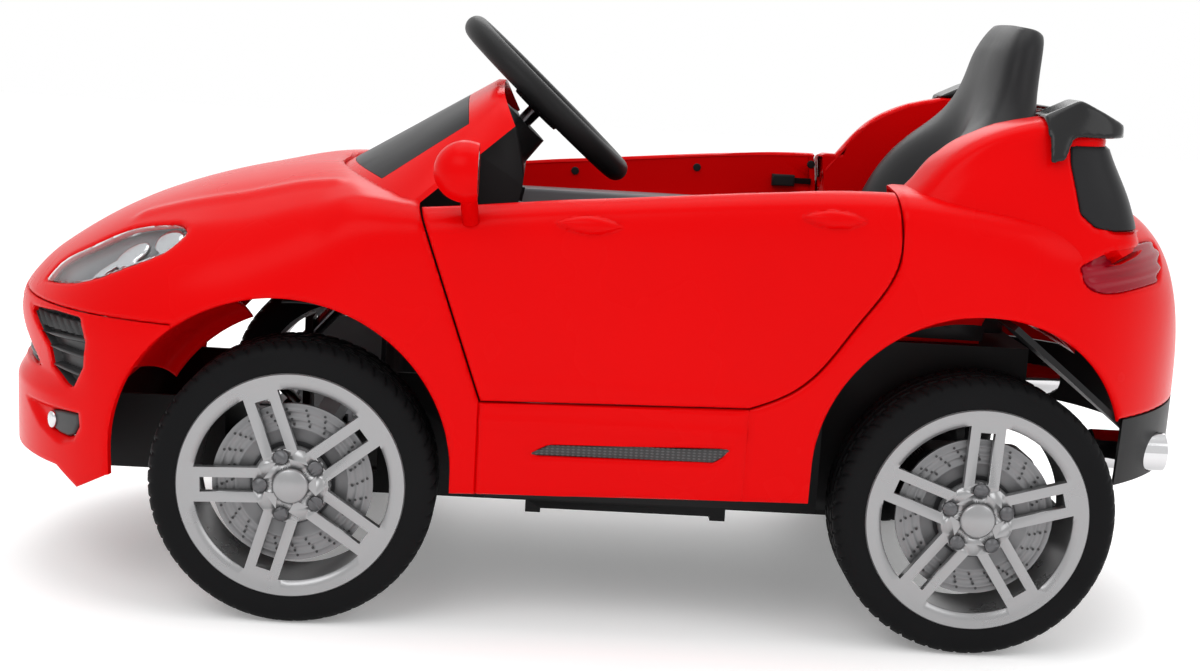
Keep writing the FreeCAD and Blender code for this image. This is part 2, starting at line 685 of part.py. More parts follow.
# Steering line: the wheel faces back and up, and the column runs down to the tie rod
wheel_back = 195.5
wheel_over = 61.0
column_angle = 48.0
column_radius = 7.0
column_top = 6.0
column_end = 376.0
crank_from = 370.0
crank_radius = 30.0
crank_half = 8.0
pin_radius = 3.0
pin_from = 374.0
pin_to = 402.0
wheel_centre = V(front_axle_x + wheel_back, 0, cowl_height + wheel_over)
column_up = V(math.cos(math.radians(column_angle)), 0, math.sin(math.radians(column_angle)))
crank_way = V(column_up.z, 0, -column_up.x)


def down_column(distance, out=0.0):
    return wheel_centre - column_up * distance + crank_way * out


def column_block(d_from, d_to, out_from, out_to, half):
    corners = [down_column(d_from, out_from), down_column(d_to, out_from), down_column(d_to, out_to),
               down_column(d_from, out_to)]
    return across(polygon(corners), -half, half)


column = rod(down_column(column_top), down_column(column_end), column_radius)
crank = column_block(crank_from, column_end, 0, crank_radius + crank_half, crank_half)
pin = rod(down_column(pin_from, crank_radius), down_column(pin_to, crank_radius), pin_radius)
save("steering_column", column.fuse([crank, pin]).removeSplitter())
column_room = rod(down_column(0), down_column(column_end), column_radius + seat_gap)
column_wide = rod(down_column(0), down_column(column_end), column_radius * 2)

# Steering wheel with three spokes, a padded hub, silver spoke covers and a horn button
rim_radius = 92.0
rim_tube = 11.0
hub_radius = 36.0
hub_depth = 22.0
spoke_half = 11.0
spoke_thick = 9.0
spoke_angles = [0.0, 180.0, 270.0]
cover_half = 8.0
cover_rise = 2.0
cover_from = 40.0
cover_to = 78.0
button_radius = 13.0
button_travel = 2.0
button_stem = 10.0
hub_rise = 6.0
hub_foot_share = 0.7


def wheel_block(angle, out_from, out_to, half, low, high):
    """Block lying on a spoke of the steering wheel."""
    block = box(out_from, out_to, -half, half, low, high)
    block.rotate(V(0, 0, 0), V(0, 0, 1), angle)
    return block


def on_wheel(shape):
    """Move a shape from flat, its sideways direction along X, onto the steering wheel."""
    placed = shape.copy()
    placed.rotate(V(0, 0, 0), V(0, 0, 1), 90)
    placed.rotate(V(0, 0, 0), V(0, 1, 0), 90 - column_angle)
    placed.translate(wheel_centre)
    return placed


rim = Part.makeTorus(rim_radius, rim_tube)
hub = Part.makeCone(hub_radius * hub_foot_share, hub_radius, hub_depth, V(0, 0, hub_rise - hub_depth))
spokes = [wheel_block(angle, 0, rim_radius, spoke_half, -spoke_thick, 0) for angle in spoke_angles]
wheel = rim.fuse([hub] + spokes).removeSplitter()
hub_edges = [edge for edge in wheel.Edges if edge.BoundBox.ZMin > hub_rise - run_gap]
wheel = wheel.makeFillet(rim_tube / 4, hub_edges)
well_foot = V(0, 0, hub_rise - button_stem)
well = rod(well_foot, well_foot + V(0, 0, button_stem * 2), button_radius + seat_gap)
column_socket = rod(V(0, 0, -hub_depth * 2), V(0, 0, -column_top), column_radius)
button = rod(well_foot + V(0, 0, button_travel + loose_gap), V(0, 0, hub_rise + button_travel),
             button_radius)
covers = [wheel_block(angle, cover_from, cover_to, cover_half, run_gap, cover_rise)
          for angle in spoke_angles]
save("steering_wheel", on_wheel(wheel.cut([well, column_socket])))
save("steering_trim", *[on_wheel(cover) for cover in covers])
save("horn_button", on_wheel(button))

# Dashboard with a column shroud and two rocker switches
dash_shares = [(0.1157, 0.6895), (0.1157, 0.9684), (0.2583, 1.1368), (0.293, 1.1053), (0.3104, 0.9789),
               (0.2861, 0.7895), (0.2304, 0.6632)]
dash_half = 150.0
dash_round = 8.0
shroud_radius = 34.0
shroud_end = 26.0
shroud_from = 30.0
shroud_length = 110.0
rocker_side = 85.0
rocker_size = (30.0, 18.0, 10.0)
rocker_deep = 6.0
rocker_pin = 1.5
rocker_pin_deep = 3.0
rocker_pin_reach = 2.5


def from_front_axle(back_share, height_share):
    """Point in the side view, a share of the wheelbase behind the front axle."""
    return V(front_axle_x + back_share * wheelbase, 0, height_share * cowl_height)


dash_points = [from_front_axle(*pair) for pair in dash_shares]
dash_face = polygon(dash_points)
dash_hollow = across(grown(dash_face, -wall), wall - dash_half, dash_half - wall)
dash_hollow.translate(V(-wall * 2, 0, 0))
dash = across(dash_face, -dash_half, dash_half)
dash = dash.makeFillet(dash_round, [edge for edge in dash.Edges if edge.BoundBox.YLength > dash_half
                                    and edge.BoundBox.XMin > dash_points[2].x - dash_round])
shroud = Part.makeCone(shroud_end, shroud_radius, shroud_length, down_column(shroud_from), -column_up)
screen_back = screen_skin.copy()
screen_back.translate(V(screen_set + seat_gap, 0, 0))
dash = dash.cut(dash_hollow).fuse(shroud).cut([column_room, screen_back.extrude(V(-side_reach, 0, 0))])
rocker_way = (dash_points[4] - dash_points[5]).normalize()
rocker_out = V(rocker_way.z, 0, -rocker_way.x)
rocker_mid = (dash_points[4] + dash_points[5]) / 2


def rocker_shape(length, width, low, high):
    spots = [(-length / 2, low), (length / 2, low), (length / 2, high), (-length / 2, high)]
    corners = [rocker_mid + rocker_way * a + rocker_out * b for a, b in spots]
    return across(polygon(corners), rocker_side - width / 2, rocker_side + width / 2)


rocker = rocker_shape(rocker_size[0], rocker_size[1], -rocker_deep, rocker_size[2] / 2)
rocker_pit = rocker_shape(rocker_size[0] + 4 * loose_gap, rocker_size[1] + 2 * seat_gap,
                          -rocker_size[2] - loose_gap, rocker_size[2])
rocker_axis = rocker_mid - rocker_out * rocker_pin_deep
pin_inner = rocker_axis + V(0, rocker_side - rocker_size[1] / 2 - rocker_pin_reach, 0)
pin_outer = rocker_axis + V(0, rocker_side + rocker_size[1] / 2 + rocker_pin_reach, 0)
rocker = rocker.fuse(rod(pin_inner, pin_outer, rocker_pin))
pin_bore = rod(pin_inner - V(0, seat_gap, 0), pin_outer + V(0, seat_gap, 0), rocker_pin + run_gap)
dash = biggest(dash.cut(both_sides(rocker_pit.fuse(pin_bore))))
save("dashboard", dash)
save("power_switch", rocker)
save("direction_switch", mirrored(rocker))

# Cabin tub: floor, footwell, door posts and the box that carries the seat
tub_wall = 4.0
tub_floor_z = 100.0
tub_side_z = 114.0
tub_rim_z = 196.0
tub_half = 232.0
tub_back = 158.5
foot_back = 60.5
foot_half = 125.0
foot_top_z = 300.0
seat_box_ahead = 137.5
seat_box_behind = 53.5
seat_box_half = 165.0
seat_box_top = 254.0
drive_room_ahead = 56.5
drive_room_z = 186.0
post_shares = [(0.2791, 0.5), (0.3383, 0.5), (0.2861, 0.9079), (0.1922, 0.9079), (0.1922, 0.7053),
               (0.2617, 0.6579)]
floor_ribs = 5
floor_rib = 3.0
tub_front_x = front_axle_x + tub_back
foot_front_x = front_axle_x + foot_back
seat_box_front = rear_axle_x - seat_box_ahead
seat_box_rear = rear_axle_x + seat_box_behind
drive_room_front = rear_axle_x - drive_room_ahead
tub = box(tub_front_x, seat_box_front + tub_wall, -tub_half, tub_half, tub_side_z, tub_rim_z)
trough = box(tub_front_x, seat_box_front + tub_wall, -foot_half, foot_half, tub_floor_z, tub_rim_z)
foot = box(foot_front_x, tub_front_x + tub_wall, -foot_half, foot_half, tub_floor_z, foot_top_z)
foot = foot.cut(box(foot_front_x + tub_wall, tub_front_x + 2 * tub_wall, -foot_half - wall,
                    foot_half + wall, tub_rim_z, foot_top_z + wall))
tub_room = box(tub_front_x + tub_wall, seat_box_front, -tub_half + tub_wall, tub_half - tub_wall,
               tub_side_z + tub_wall, foot_top_z)
foot_room = box(foot_front_x + tub_wall, seat_box_front, -foot_half + tub_wall, foot_half - tub_wall,
                tub_floor_z + tub_wall, foot_top_z)
seat_box = box(seat_box_front, seat_box_rear, -seat_box_half, seat_box_half, tub_floor_z, seat_box_top)
seat_room = box(seat_box_front + tub_wall, seat_box_rear + wall, tub_wall - seat_box_half,
                seat_box_half - tub_wall, 0, seat_box_top - tub_wall)
drive_room = box(drive_room_front, seat_box_rear + wall, -seat_box_half - wall, seat_box_half + wall,
                 0, drive_room_z)
seat_box = seat_box.cut([seat_room, drive_room])
post_points = [from_front_axle(*pair) for pair in post_shares]
post = polygon(post_points)
posts = both_sides(across(post, -post_side, -post_side + post_thick))
tub = tub.fuse([trough, foot]).cut([tub_room, foot_room]).fuse([seat_box] + posts)
brace_face = polygon(post_points[:2] + [V(post_points[1].x, 0, tub_side_z),
                                        V(post_points[0].x, 0, tub_side_z)])
brace = across(brace_face, -tub_half + wall / 2, -post_side + post_thick)
tub = tub.fuse(both_sides(brace) + brackets + [mirrored(bracket) for bracket in brackets])
rib_step = (seat_box_front - tub_front_x) / (floor_ribs + 1)
for k in range(floor_ribs):
    x = tub_front_x + rib_step * (k + 1)
    tub = tub.fuse(box(x - floor_rib, x + floor_rib, -foot_half, foot_half, tub_floor_z,
                       tub_floor_z + tub_wall + floor_rib))
tub = tub.cut(column_wide)

# Seat: a moulded bucket with a cushion, side bolsters and a tall headrest
seat_ahead = 248.5
seat_lift = 0.5
back_foot_behind = 36.5
back_foot_lift = 4.0
back_head_behind = 70.0
back_head_over = 152.0
back_rows = [(0.0, 160.0, 96.0, 70.0), (0.2, 165.0, 112.0, 60.0), (0.34, 164.0, 102.0, 54.0),
             (0.467, 154.0, 88.0, 48.0), (0.585, 136.0, 65.0, 44.0), (0.68, 112.0, 46.0, 42.0),
             (0.78, 92.0, 38.0, 40.0), (0.91, 78.0, 34.0, 36.0), (1.0, 60.0, 24.0, 25.0)]
wing_low_share = 0.35
wing_high_share = 0.75
cushion_half = 166.0
cushion_front_half = 150.0
cushion_behind = 11.5
cushion_thick = 53.5
cushion_round = 14.0
dish_half = 118.0
dish_depth = 20.0
dish_round = 9.0
seat_lowest = seat_deck_z + seat_lift
seat_front_x = rear_axle_x - seat_ahead
cushion_back_x = rear_axle_x + cushion_behind
cushion_high = seat_lowest + cushion_thick
back_foot = V(rear_axle_x + back_foot_behind, 0, seat_deck_z + back_foot_lift)
back_head = V(rear_axle_x + back_head_behind, 0, cowl_height + back_head_over)
seat_up = (back_head - back_foot).normalize()
seat_front_way = V(-seat_up.z, 0, seat_up.x)
back_length = (back_head - back_foot).Length
corner_share = 0.74


def back_ring(share, half, wing, middle_thick):
    """Cross-section of the backrest: a rounded slab with its wings brought forward at the sides."""
    middle = back_foot + seat_up * (share * back_length)
    low, high = wing * wing_low_share, wing * wing_high_share
    shape = [(-corner_share, 0), (0, 0), (corner_share, 0), (1, low), (1, high), (corner_share, wing),
             (0, middle_thick), (-corner_share, wing), (-1, high), (-1, low)]
    points = [middle + V(0, a * half, 0) + seat_front_way * b for a, b in shape]
    return Part.Wire([smooth(points, True)])


backrest = Part.makeLoft([back_ring(*row) for row in back_rows], True, False)
cushion_plan = polygon([V(seat_front_x, -cushion_front_half, seat_lowest),
                        V(seat_front_x, cushion_front_half, seat_lowest),
                        V(cushion_back_x, cushion_half, seat_lowest),
                        V(cushion_back_x, -cushion_half, seat_lowest)])
cushion = cushion_plan.extrude(V(0, 0, cushion_high - seat_lowest))
cushion_edges = [edge for edge in cushion.Edges if edge.BoundBox.ZMax > cushion_high - run_gap
                 and edge.BoundBox.XMin < cushion_back_x - cushion_round]
cushion = cushion.makeFillet(cushion_round, cushion_edges)
dish = box(seat_front_x - wall, cushion_back_x, -dish_half, dish_half, cushion_high - dish_depth,
           cushion_high + wall)
dish_edges = [edge for edge in dish.Edges if edge.BoundBox.XLength > dish_half
              and edge.BoundBox.ZMax < cushion_high]
dish = dish.makeFillet(dish_round, dish_edges)
seat = cushion.cut(dish).fuse(backrest)
save("seat", biggest(seat))

# Accelerator pedal, hinged at the floor and leaning forward
pedal_back = 130.5
pedal_side = 62.0
pedal_lift = 11.0
pedal_tilt = 50.0
pedal_length = 66.0
pedal_half = 26.0
pedal_thick = 7.0
pedal_pin = 3.0
pedal_eye = 6.0
pedal_ear = 4.0
pedal_base_half = 16.0
pedal_ribs = 5
floor_top = tub_floor_z + tub_wall
pedal_hinge = V(front_axle_x + pedal_back, pedal_side, floor_top + pedal_lift)
pedal_up = V(-math.cos(math.radians(pedal_tilt)), 0, math.sin(math.radians(pedal_tilt)))
pedal_face = V(pedal_up.z, 0, -pedal_up.x)


def pedal_block(up_from, up_to, out_from, out_to, half):
    flat = V(pedal_hinge.x, 0, pedal_hinge.z)
    corners = [flat + pedal_up * a + pedal_face * b
               for a, b in ((up_from, out_from), (up_to, out_from), (up_to, out_to), (up_from, out_to))]
    return across(polygon(corners), pedal_hinge.y - half, pedal_hinge.y + half)


def pedal_axis(half):
    return pedal_hinge - V(0, half, 0), pedal_hinge + V(0, half, 0)


pedal = pedal_block(0, pedal_length, -pedal_thick / 2, pedal_thick / 2, pedal_half)
pedal = pedal.fuse(rod(*pedal_axis(pedal_half), pedal_eye))
for k in range(pedal_ribs):
    up = pedal_length * (k + 1) / (pedal_ribs + 1)
    pedal = pedal.fuse(pedal_block(up, up + pedal_thick / 2, 0, pedal_thick, pedal_half - pedal_ear))
pedal = pedal.removeSplitter().cut(rod(*pedal_axis(pedal_half + wall), pedal_pin + run_gap))
save("pedal", pedal)
ear_half = pedal_half + loose_gap + pedal_ear
pedal_base = box(pedal_hinge.x - pedal_base_half, pedal_hinge.x + pedal_base_half,
                 pedal_hinge.y - ear_half, pedal_hinge.y + ear_half, tub_floor_z,
                 floor_top + pedal_ear / 2)
ears = [rod(*pedal_axis(ear_half), pedal_pin)]
for side in (-1, 1):
    middle = pedal_hinge.y + side * (pedal_half + loose_gap + pedal_ear / 2)
    ears.append(box(pedal_hinge.x - pedal_eye, pedal_hinge.x + pedal_eye, middle - pedal_ear / 2,
                    middle + pedal_ear / 2, tub_floor_z, pedal_hinge.z + pedal_eye))
save("cabin_tub", biggest(tub.fuse([pedal_base] + ears).removeSplitter()))

# Chassis: black under-frame with a deep middle pan, a nose box, and the brackets for both axles
frame_ahead = 79.5
frame_behind = 111.5
frame_half = 104.0
frame_low = 88.0
frame_high = 99.6
pan_inset = 195.5
pan_half = 100.0
pan_low = 72.0
pan_wall = 4.0
foot_low = 68.0
foot_length = 14.0
nose_box_ahead = 177.5
nose_box_half = 126.0
nose_box_low = 102.0
nose_box_high = 165.0
saddle_from = 70.0
saddle_to = 92.0
saddle_long = 13.0
beam_half = 10.0
column_post_ahead = 20.5
column_post_thick = 7.0
column_post_half = 18.0
column_post_high = 224.0
ear_thick = 8.0
ear_long = 15.0
ear_high = 142.0
axle_radius = 6.0
edge_flange = 8.0
stub_share = 0.4
frame_front = front_axle_x - frame_ahead
frame_rear = rear_axle_x + frame_behind
pan_front = front_axle_x + pan_inset
pan_rear = rear_axle_x - pan_inset
nose_box_front = front_axle_x - nose_box_ahead
column_post_front = front_axle_x - column_post_ahead
flange = box(frame_front, frame_rear, -frame_half, pan_wall - frame_half, frame_low - edge_flange,
             frame_high)
pan = box(pan_front, pan_rear, -pan_half, pan_half, pan_low, frame_high)
pan_room = box(pan_front + pan_wall, pan_rear - pan_wall, pan_wall - pan_half, pan_half - pan_wall,
               pan_low + pan_wall, frame_high + wall)
nose_box = box(nose_box_front, frame_front + pan_wall, -nose_box_half, nose_box_half,
               nose_box_low - pan_wall, nose_box_high)
nose_room = box(nose_box_front + pan_wall, frame_front, pan_wall - nose_box_half,
                nose_box_half - pan_wall, nose_box_low, nose_box_high + wall)
chassis = box(frame_front, frame_rear, -frame_half, frame_half, frame_low, frame_high)
chassis = chassis.fuse([pan, nose_box] + both_sides(flange)).cut([pan_room, nose_room])
extras = []
for x in (pan_front, pan_rear - foot_length):
    for y in (-pan_half, pan_half - foot_length):
        extras.append(box(x, x + foot_length, y, y + foot_length, foot_low, pan_low + pan_wall))
for y in (-saddle_to, saddle_from):
    extras.append(box(front_axle_x - saddle_long, front_axle_x + saddle_long, y,
                      y + saddle_to - saddle_from, frame_low, axle_z - beam_half - run_gap))
for y in (-frame_half, frame_half - ear_thick):
    extras.append(box(rear_axle_x - ear_long, rear_axle_x + ear_long, y, y + ear_thick, frame_low,
                      ear_high))
extras.append(box(column_post_front, column_post_front + column_post_thick, -column_post_half,
                  column_post_half, frame_low, column_post_high))
stub_end = track_half + tyre_width * stub_share
rear_axle = rod(V(rear_axle_x, -stub_end, axle_z), V(rear_axle_x, stub_end, axle_z), axle_radius)
chassis = chassis.fuse(extras).removeSplitter().cut([column_room, rear_axle])
save("chassis", biggest(chassis))

# Front axle: beam with a fork at each end, kingpins, steering knuckles and the tie rod
kingpin_side = 165.0
kingpin_radius = 5.0
kingpin_head = 8.0
fork_low = 94.0
fork_high = 146.0
fork_thick = 7.5
fork_reach = 13.0
beam_end = 140.0
knuckle_radius = 12.0
arm_ahead = 43.5
arm_half = 8.0
arm_low = 122.0
arm_high = 128.0
arm_pin = 4.0
arm_pin_top = 139.0
link_gap = 0.5
link_high = 134.5
link_half = 7.0
link_eye = 9.0
link_pad_front = 28.0
link_pad_rear = 16.0
link_pad_half = 16.0
slot_front = 20.0
slot_rear = 8.0
slot_half = 5.0
hub_gap = 0.6
collar_radius = 9.0
hub_share = 0.28
beam = box(front_axle_x - beam_half, front_axle_x + beam_half, -beam_end, beam_end, axle_z - beam_half,
           axle_z + beam_half)
for side in (-1, 1):
    outer_y, inner_y = side * (kingpin_side + fork_reach), side * (beam_end - fork_thick)
    low_y, high_y = min(outer_y, inner_y), max(outer_y, inner_y)
    back_low, back_high = min(inner_y, side * beam_end), max(inner_y, side * beam_end)
    x_from, x_to = front_axle_x - fork_reach, front_axle_x + fork_reach
    beam = beam.fuse([box(x_from, x_to, low_y, high_y, fork_low, fork_low + fork_thick),
                      box(x_from, x_to, low_y, high_y, fork_high - fork_thick, fork_high),
                      box(x_from, x_to, back_low, back_high, fork_low, fork_high)])
kingpin_at = V(front_axle_x, -kingpin_side, 0)
kingpin = rod(kingpin_at + V(0, 0, fork_low - pan_wall), kingpin_at + V(0, 0, fork_high), kingpin_radius)
kingpin = kingpin.fuse(rod(kingpin_at + V(0, 0, fork_high), kingpin_at + V(0, 0, fork_high + pan_wall),
                           kingpin_head))
save("front_axle_beam", beam.fuse(both_sides(kingpin)).removeSplitter())
barrel_low = V(front_axle_x, -kingpin_side, fork_low + fork_thick + hub_gap)
barrel_high = V(front_axle_x, -kingpin_side, fork_high - fork_thick - hub_gap)
rim_inner_y = track_half - tyre_width * hub_share
knuckle = rod(barrel_low, barrel_high, knuckle_radius)
stub_from = V(front_axle_x, -kingpin_side, axle_z)
stub = rod(stub_from, V(front_axle_x, -stub_end, axle_z), axle_radius)
collar = rod(stub_from, V(front_axle_x, hub_gap - rim_inner_y, axle_z), collar_radius)
arm_x = front_axle_x - arm_ahead
arm = box(arm_x, front_axle_x, -kingpin_side - arm_half, -kingpin_side + arm_half, arm_low, arm_high)
arm = arm.fuse(rod(V(arm_x, -kingpin_side, arm_low), V(arm_x, -kingpin_side, arm_high), arm_half))
ball_pin = rod(V(arm_x, -kingpin_side, arm_low), V(arm_x, -kingpin_side, arm_pin_top), arm_pin)
knuckle = knuckle.fuse([stub, collar, arm, ball_pin]).removeSplitter()
knuckle = knuckle.cut(rod(kingpin_at, kingpin_at + V(0, 0, 2 * axle_z), kingpin_radius + run_gap))
link_low = arm_high + link_gap
link = box(arm_x - link_half, arm_x + link_half, -kingpin_side, kingpin_side, link_low, link_high)
link_end = rod(V(arm_x, -kingpin_side, link_low), V(arm_x, -kingpin_side, link_high), link_eye)
link_pad = box(arm_x - link_pad_front, arm_x + link_pad_rear, -link_pad_half, link_pad_half, link_low,
               link_high)
link = link.fuse(both_sides(link_end) + [link_pad])
link = link.removeSplitter().cut([
    rod(V(arm_x, -kingpin_side, 0), V(arm_x, -kingpin_side, 2 * axle_z), arm_pin + run_gap),
    rod(V(arm_x, kingpin_side, 0), V(arm_x, kingpin_side, 2 * axle_z), arm_pin + link_gap),
    box(arm_x - slot_front, arm_x + slot_rear, -slot_half, slot_half, 0, 2 * axle_z)])
save("tie_rod", link)

# Drive at the back: a gearbox with its motor for each wheel, the battery and the control box
gear_front = 40.0
gear_rear = 66.0
gear_outer_y = 176.0
gear_inner_y = 134.0
gear_low = 84.0
gear_high = 162.0
gear_round = 14.0
motor_back = 40.0
motor_z = 128.0
motor_radius = 19.0
motor_end_y = 66.0
battery_size = (65.0, 151.0, 94.0)
battery_ahead = 128.5
control_size = (40.0, 100.0, 26.0)
control_ahead = 56.5
gearbox = box(rear_axle_x - gear_front, rear_axle_x + gear_rear, -gear_outer_y, -gear_inner_y, gear_low,
              gear_high)
gear_edges = [edge for edge in gearbox.Edges if edge.BoundBox.YLength > gear_round]
gearbox = gearbox.makeFillet(gear_round, gear_edges)
axle_room = rod(V(rear_axle_x, -side_reach, axle_z), V(rear_axle_x, side_reach, axle_z),
                axle_radius + link_gap)
motor_at = V(rear_axle_x + motor_back, 0, motor_z)
motor = rod(motor_at - V(0, gear_inner_y - run_gap, 0), motor_at - V(0, motor_end_y, 0), motor_radius)
save("drive_units", *(both_sides(gearbox.cut(axle_room)) + both_sides(motor)))


def tray_box(front, size):
    """Block of a given size standing on the chassis, across the middle."""
    low = frame_high + run_gap
    return box(front, front + size[0], -size[1] / 2, size[1] / 2, low, low + size[2])


battery = tray_box(rear_axle_x - battery_ahead, battery_size)
battery_edges = [edge for edge in battery.Edges if edge.BoundBox.ZLength > motor_radius]
save("battery", battery.makeFillet(pan_wall, battery_edges))
save("control_box", tray_box(rear_axle_x - control_ahead, control_size))

# Slanted under-trays behind the rear wheels
tray_shares = [(0.0764, 2.4), (0.6644, 1.5833), (0.6505, 1.55), (0.0625, 2.3667)]
tray_inner_y = cabin_half + wall + run_gap
tray_face = polygon([V(rear_axle_x + a * rear_overhang, 0, b * axle_z) for a, b in tray_shares])
tray = across(tray_face, -body_half, -tray_inner_y).common(inner_body)
save("rear_trays", *both_sides(biggest(tray)))

# Road wheels: hollow tyre, five twin-spoke rim, brake disc and hub cap, built about the axle line
tyre_bore = 88.0
sidewall_radius = 95.0
shoulder_shares = [(0.9, 1), (0.9625, 0.914), (0.9917, 0.771), (1, 0.63)]
groove_shares = [-0.4, 0, 0.4]
groove_half = 2.0
groove_depth = 3.0
barrel_wall = 4.0
barrel_back = 4.2
flange_radius = 94.0
flange_inner = 81.5
flange_thick = 6.0
flange_proud = 1.5
hub_outer = 20.0
hub_plate_radius = 33.0
spoke_width = 8.5
spoke_spread = 10.5
spoke_deep = 8.0
spoke_set = 2.0
bridge_from = 75.0
bolt_circle = 25.5
bolt_radius = 6.0
bolt_hole_deep = 3.0
nut_pit_radius = 13.0
nut_pit_deep = 16.0
disc_outer = 67.0
disc_inner = 38.0
disc_thick = 3.5
disc_set = 13.0
disc_ridge = 1.2
disc_ridge_shares = [0.6866, 0.791, 0.8955]
cap_radius = 15.0
cap_thick = 4.0
nut_sides = 6
nut_flat = 19.0
nut_thick = 7.0
spoke_count = 5
front_spoke_angle = 38.0
rear_spoke_angle = 16.0
dog_radius = 24.0
dog_count = 6
dog_tooth = 5.0
half_tyre = tyre_width / 2
tread_radius = tyre_diameter / 2


def turned(profile):
    """Solid turned about the axle line from (radius, place) pairs, places running outward."""
    face = polygon([V(radius, -place_y, 0) for radius, place_y in profile])
    return face.revolve(V(0, 0, 0), V(0, 1, 0), 360)


def spun(shape, count, start):
    """Copies of a shape round the axle line, counted from the rear as seen from outside."""
    copies = []
    for k in range(count):
        copy = shape.copy()
        copy.rotate(V(0, 0, 0), V(0, 1, 0), -(start + 360.0 * k / count))
        copies.append(copy)
    return copies


def tyre_shape():
    outside = [(sidewall_radius, half_tyre)]
    outside += [(a * tread_radius, b * half_tyre) for a, b in shoulder_shares]
    mirrored_side = [(radius, -y) for radius, y in outside[::-1]]
    inside = [(tyre_bore, wall - half_tyre), (tyre_bore, half_tyre - wall)]
    tyre = turned(outside + mirrored_side + inside)
    low, high = tread_radius - groove_depth, tread_radius + wall
    for share in groove_shares:
        near, far = share * half_tyre - groove_half, share * half_tyre + groove_half
        tyre = tyre.cut(turned([(low, near), (high, near), (high, far), (low, far)]))
    return tyre


def rim_shape(start):
    face_y = half_tyre + flange_proud
    barrel_radius = tyre_bore - run_gap
    front_y = face_y - spoke_set
    back_y = front_y - spoke_deep
    hub_back = tyre_width * hub_share
    inner_radius = barrel_radius - barrel_wall
    barrel = turned([(barrel_radius, barrel_back - half_tyre), (barrel_radius, half_tyre - wall),
                     (sidewall_radius - run_gap, half_tyre + run_gap), (flange_radius, face_y),
                     (flange_inner, face_y - spoke_set), (flange_inner, face_y - flange_thick),
                     (inner_radius, face_y - flange_thick * 2), (inner_radius, barrel_back - half_tyre)])
    hub_bore = axle_radius + run_gap
    hub_body = turned([(hub_bore, -hub_back), (hub_outer, -hub_back), (hub_outer, back_y),
                       (hub_plate_radius, back_y), (hub_plate_radius - spoke_set, front_y),
                       (hub_bore, front_y)])
    reach = barrel_radius - wall / 2
    pair = box(bridge_from, reach, -front_y, -back_y, -spoke_spread, spoke_spread)
    for side in (-1, 1):
        low = side * spoke_spread - spoke_width / 2
        pair = pair.fuse(box(hub_outer, reach, -front_y, -back_y, low, low + spoke_width))
    shape = barrel.fuse([hub_body] + spun(pair, spoke_count, start)).removeSplitter()
    bolt_hole = rod(V(bolt_circle, -face_y, 0), V(bolt_circle, bolt_hole_deep - front_y, 0),
                    bolt_radius + seat_gap)
    pit = rod(V(0, -face_y, 0), V(0, nut_pit_deep - front_y, 0), nut_pit_radius)
    return shape.cut(spun(bolt_hole, spoke_count, start) + [pit])


def disc_shape():
    front_y = half_tyre - disc_set
    profile = [(hub_outer + run_gap, front_y - disc_thick), (disc_outer, front_y - disc_thick),
               (disc_outer, front_y)]
    for share in disc_ridge_shares[::-1]:
        radius = share * disc_outer
        profile += [(radius + disc_ridge * 2, front_y), (radius + disc_ridge, front_y + disc_ridge),
                    (radius, front_y)]
    return turned(profile + [(disc_inner, front_y), (disc_inner - disc_ridge * 2, front_y - disc_ridge),
                             (hub_outer + run_gap, front_y - disc_ridge)])


def hub_cap_shapes(start):
    front_y = half_tyre + flange_proud - spoke_set
    cap = turned([(0, front_y + cap_thick), (cap_radius - cap_thick / 2, front_y + cap_thick),
                  (cap_radius, front_y + cap_thick / 2), (cap_radius, front_y + run_gap),
                  (0, front_y + run_gap)])
    bolt = rod(V(bolt_circle, -front_y - loose_gap, 0),
               V(bolt_circle, bolt_hole_deep - front_y - run_gap, 0), bolt_radius)
    return [cap] + spun(bolt, spoke_count, start)


def nut_shape():
    front_y = half_tyre + flange_proud - spoke_set - nut_pit_deep
    corner = nut_flat / math.sqrt(3)
    corners = []
    for k in range(nut_sides):
        angle = 2 * math.pi * k / nut_sides
        corners.append(V(corner * math.cos(angle), -front_y - hub_gap, corner * math.sin(angle)))
    return polygon(corners).extrude(V(0, -nut_thick, 0))


def dog_shape():
    inner_y, outer_y = -rim_inner_y + run_gap, -gear_outer_y - loose_gap
    ring = tube(V(0, inner_y, 0), V(0, outer_y, 0), dog_radius - dog_tooth, axle_radius + run_gap)
    tooth = box(0, dog_radius, inner_y, outer_y, -dog_tooth / 2, dog_tooth / 2)
    teeth = ring.fuse(spun(tooth, dog_count, 0)).removeSplitter()
    return teeth.cut(rod(V(0, -side_reach, 0), V(0, side_reach, 0), axle_radius + run_gap))


def at_wheel(shape, x, out=track_half):
    placed = shape.copy()
    placed.translate(V(x, -out, axle_z))
    return placed


nut = nut_shape()
knuckle = knuckle.fuse(at_wheel(nut, front_axle_x)).removeSplitter()
save("knuckle_left", knuckle)
save("knuckle_right", mirrored(knuckle))
save("rear_axle", rear_axle.fuse(both_sides(at_wheel(nut, rear_axle_x))).removeSplitter())
dog = at_wheel(dog_shape(), rear_axle_x, 0)
ends = [("front", front_axle_x, front_spoke_angle, []), ("rear", rear_axle_x, rear_spoke_angle, [dog])]
for end, x, angle, dogs in ends:
    pieces = {"tyre": [tyre_shape()], "rim": [rim_shape(angle)],
              "wheel_trim": [disc_shape()] + hub_cap_shapes(angle)}
    for name, shapes in pieces.items():
        near = [at_wheel(shape, x) for shape in shapes]
        if name == "rim":
            near += dogs
        save(name + "_" + end + "_left", *near)
        save(name + "_" + end + "_right", *[mirrored(shape) for shape in near])
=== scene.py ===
"""Looks of a child's electric ride-on car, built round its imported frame."""

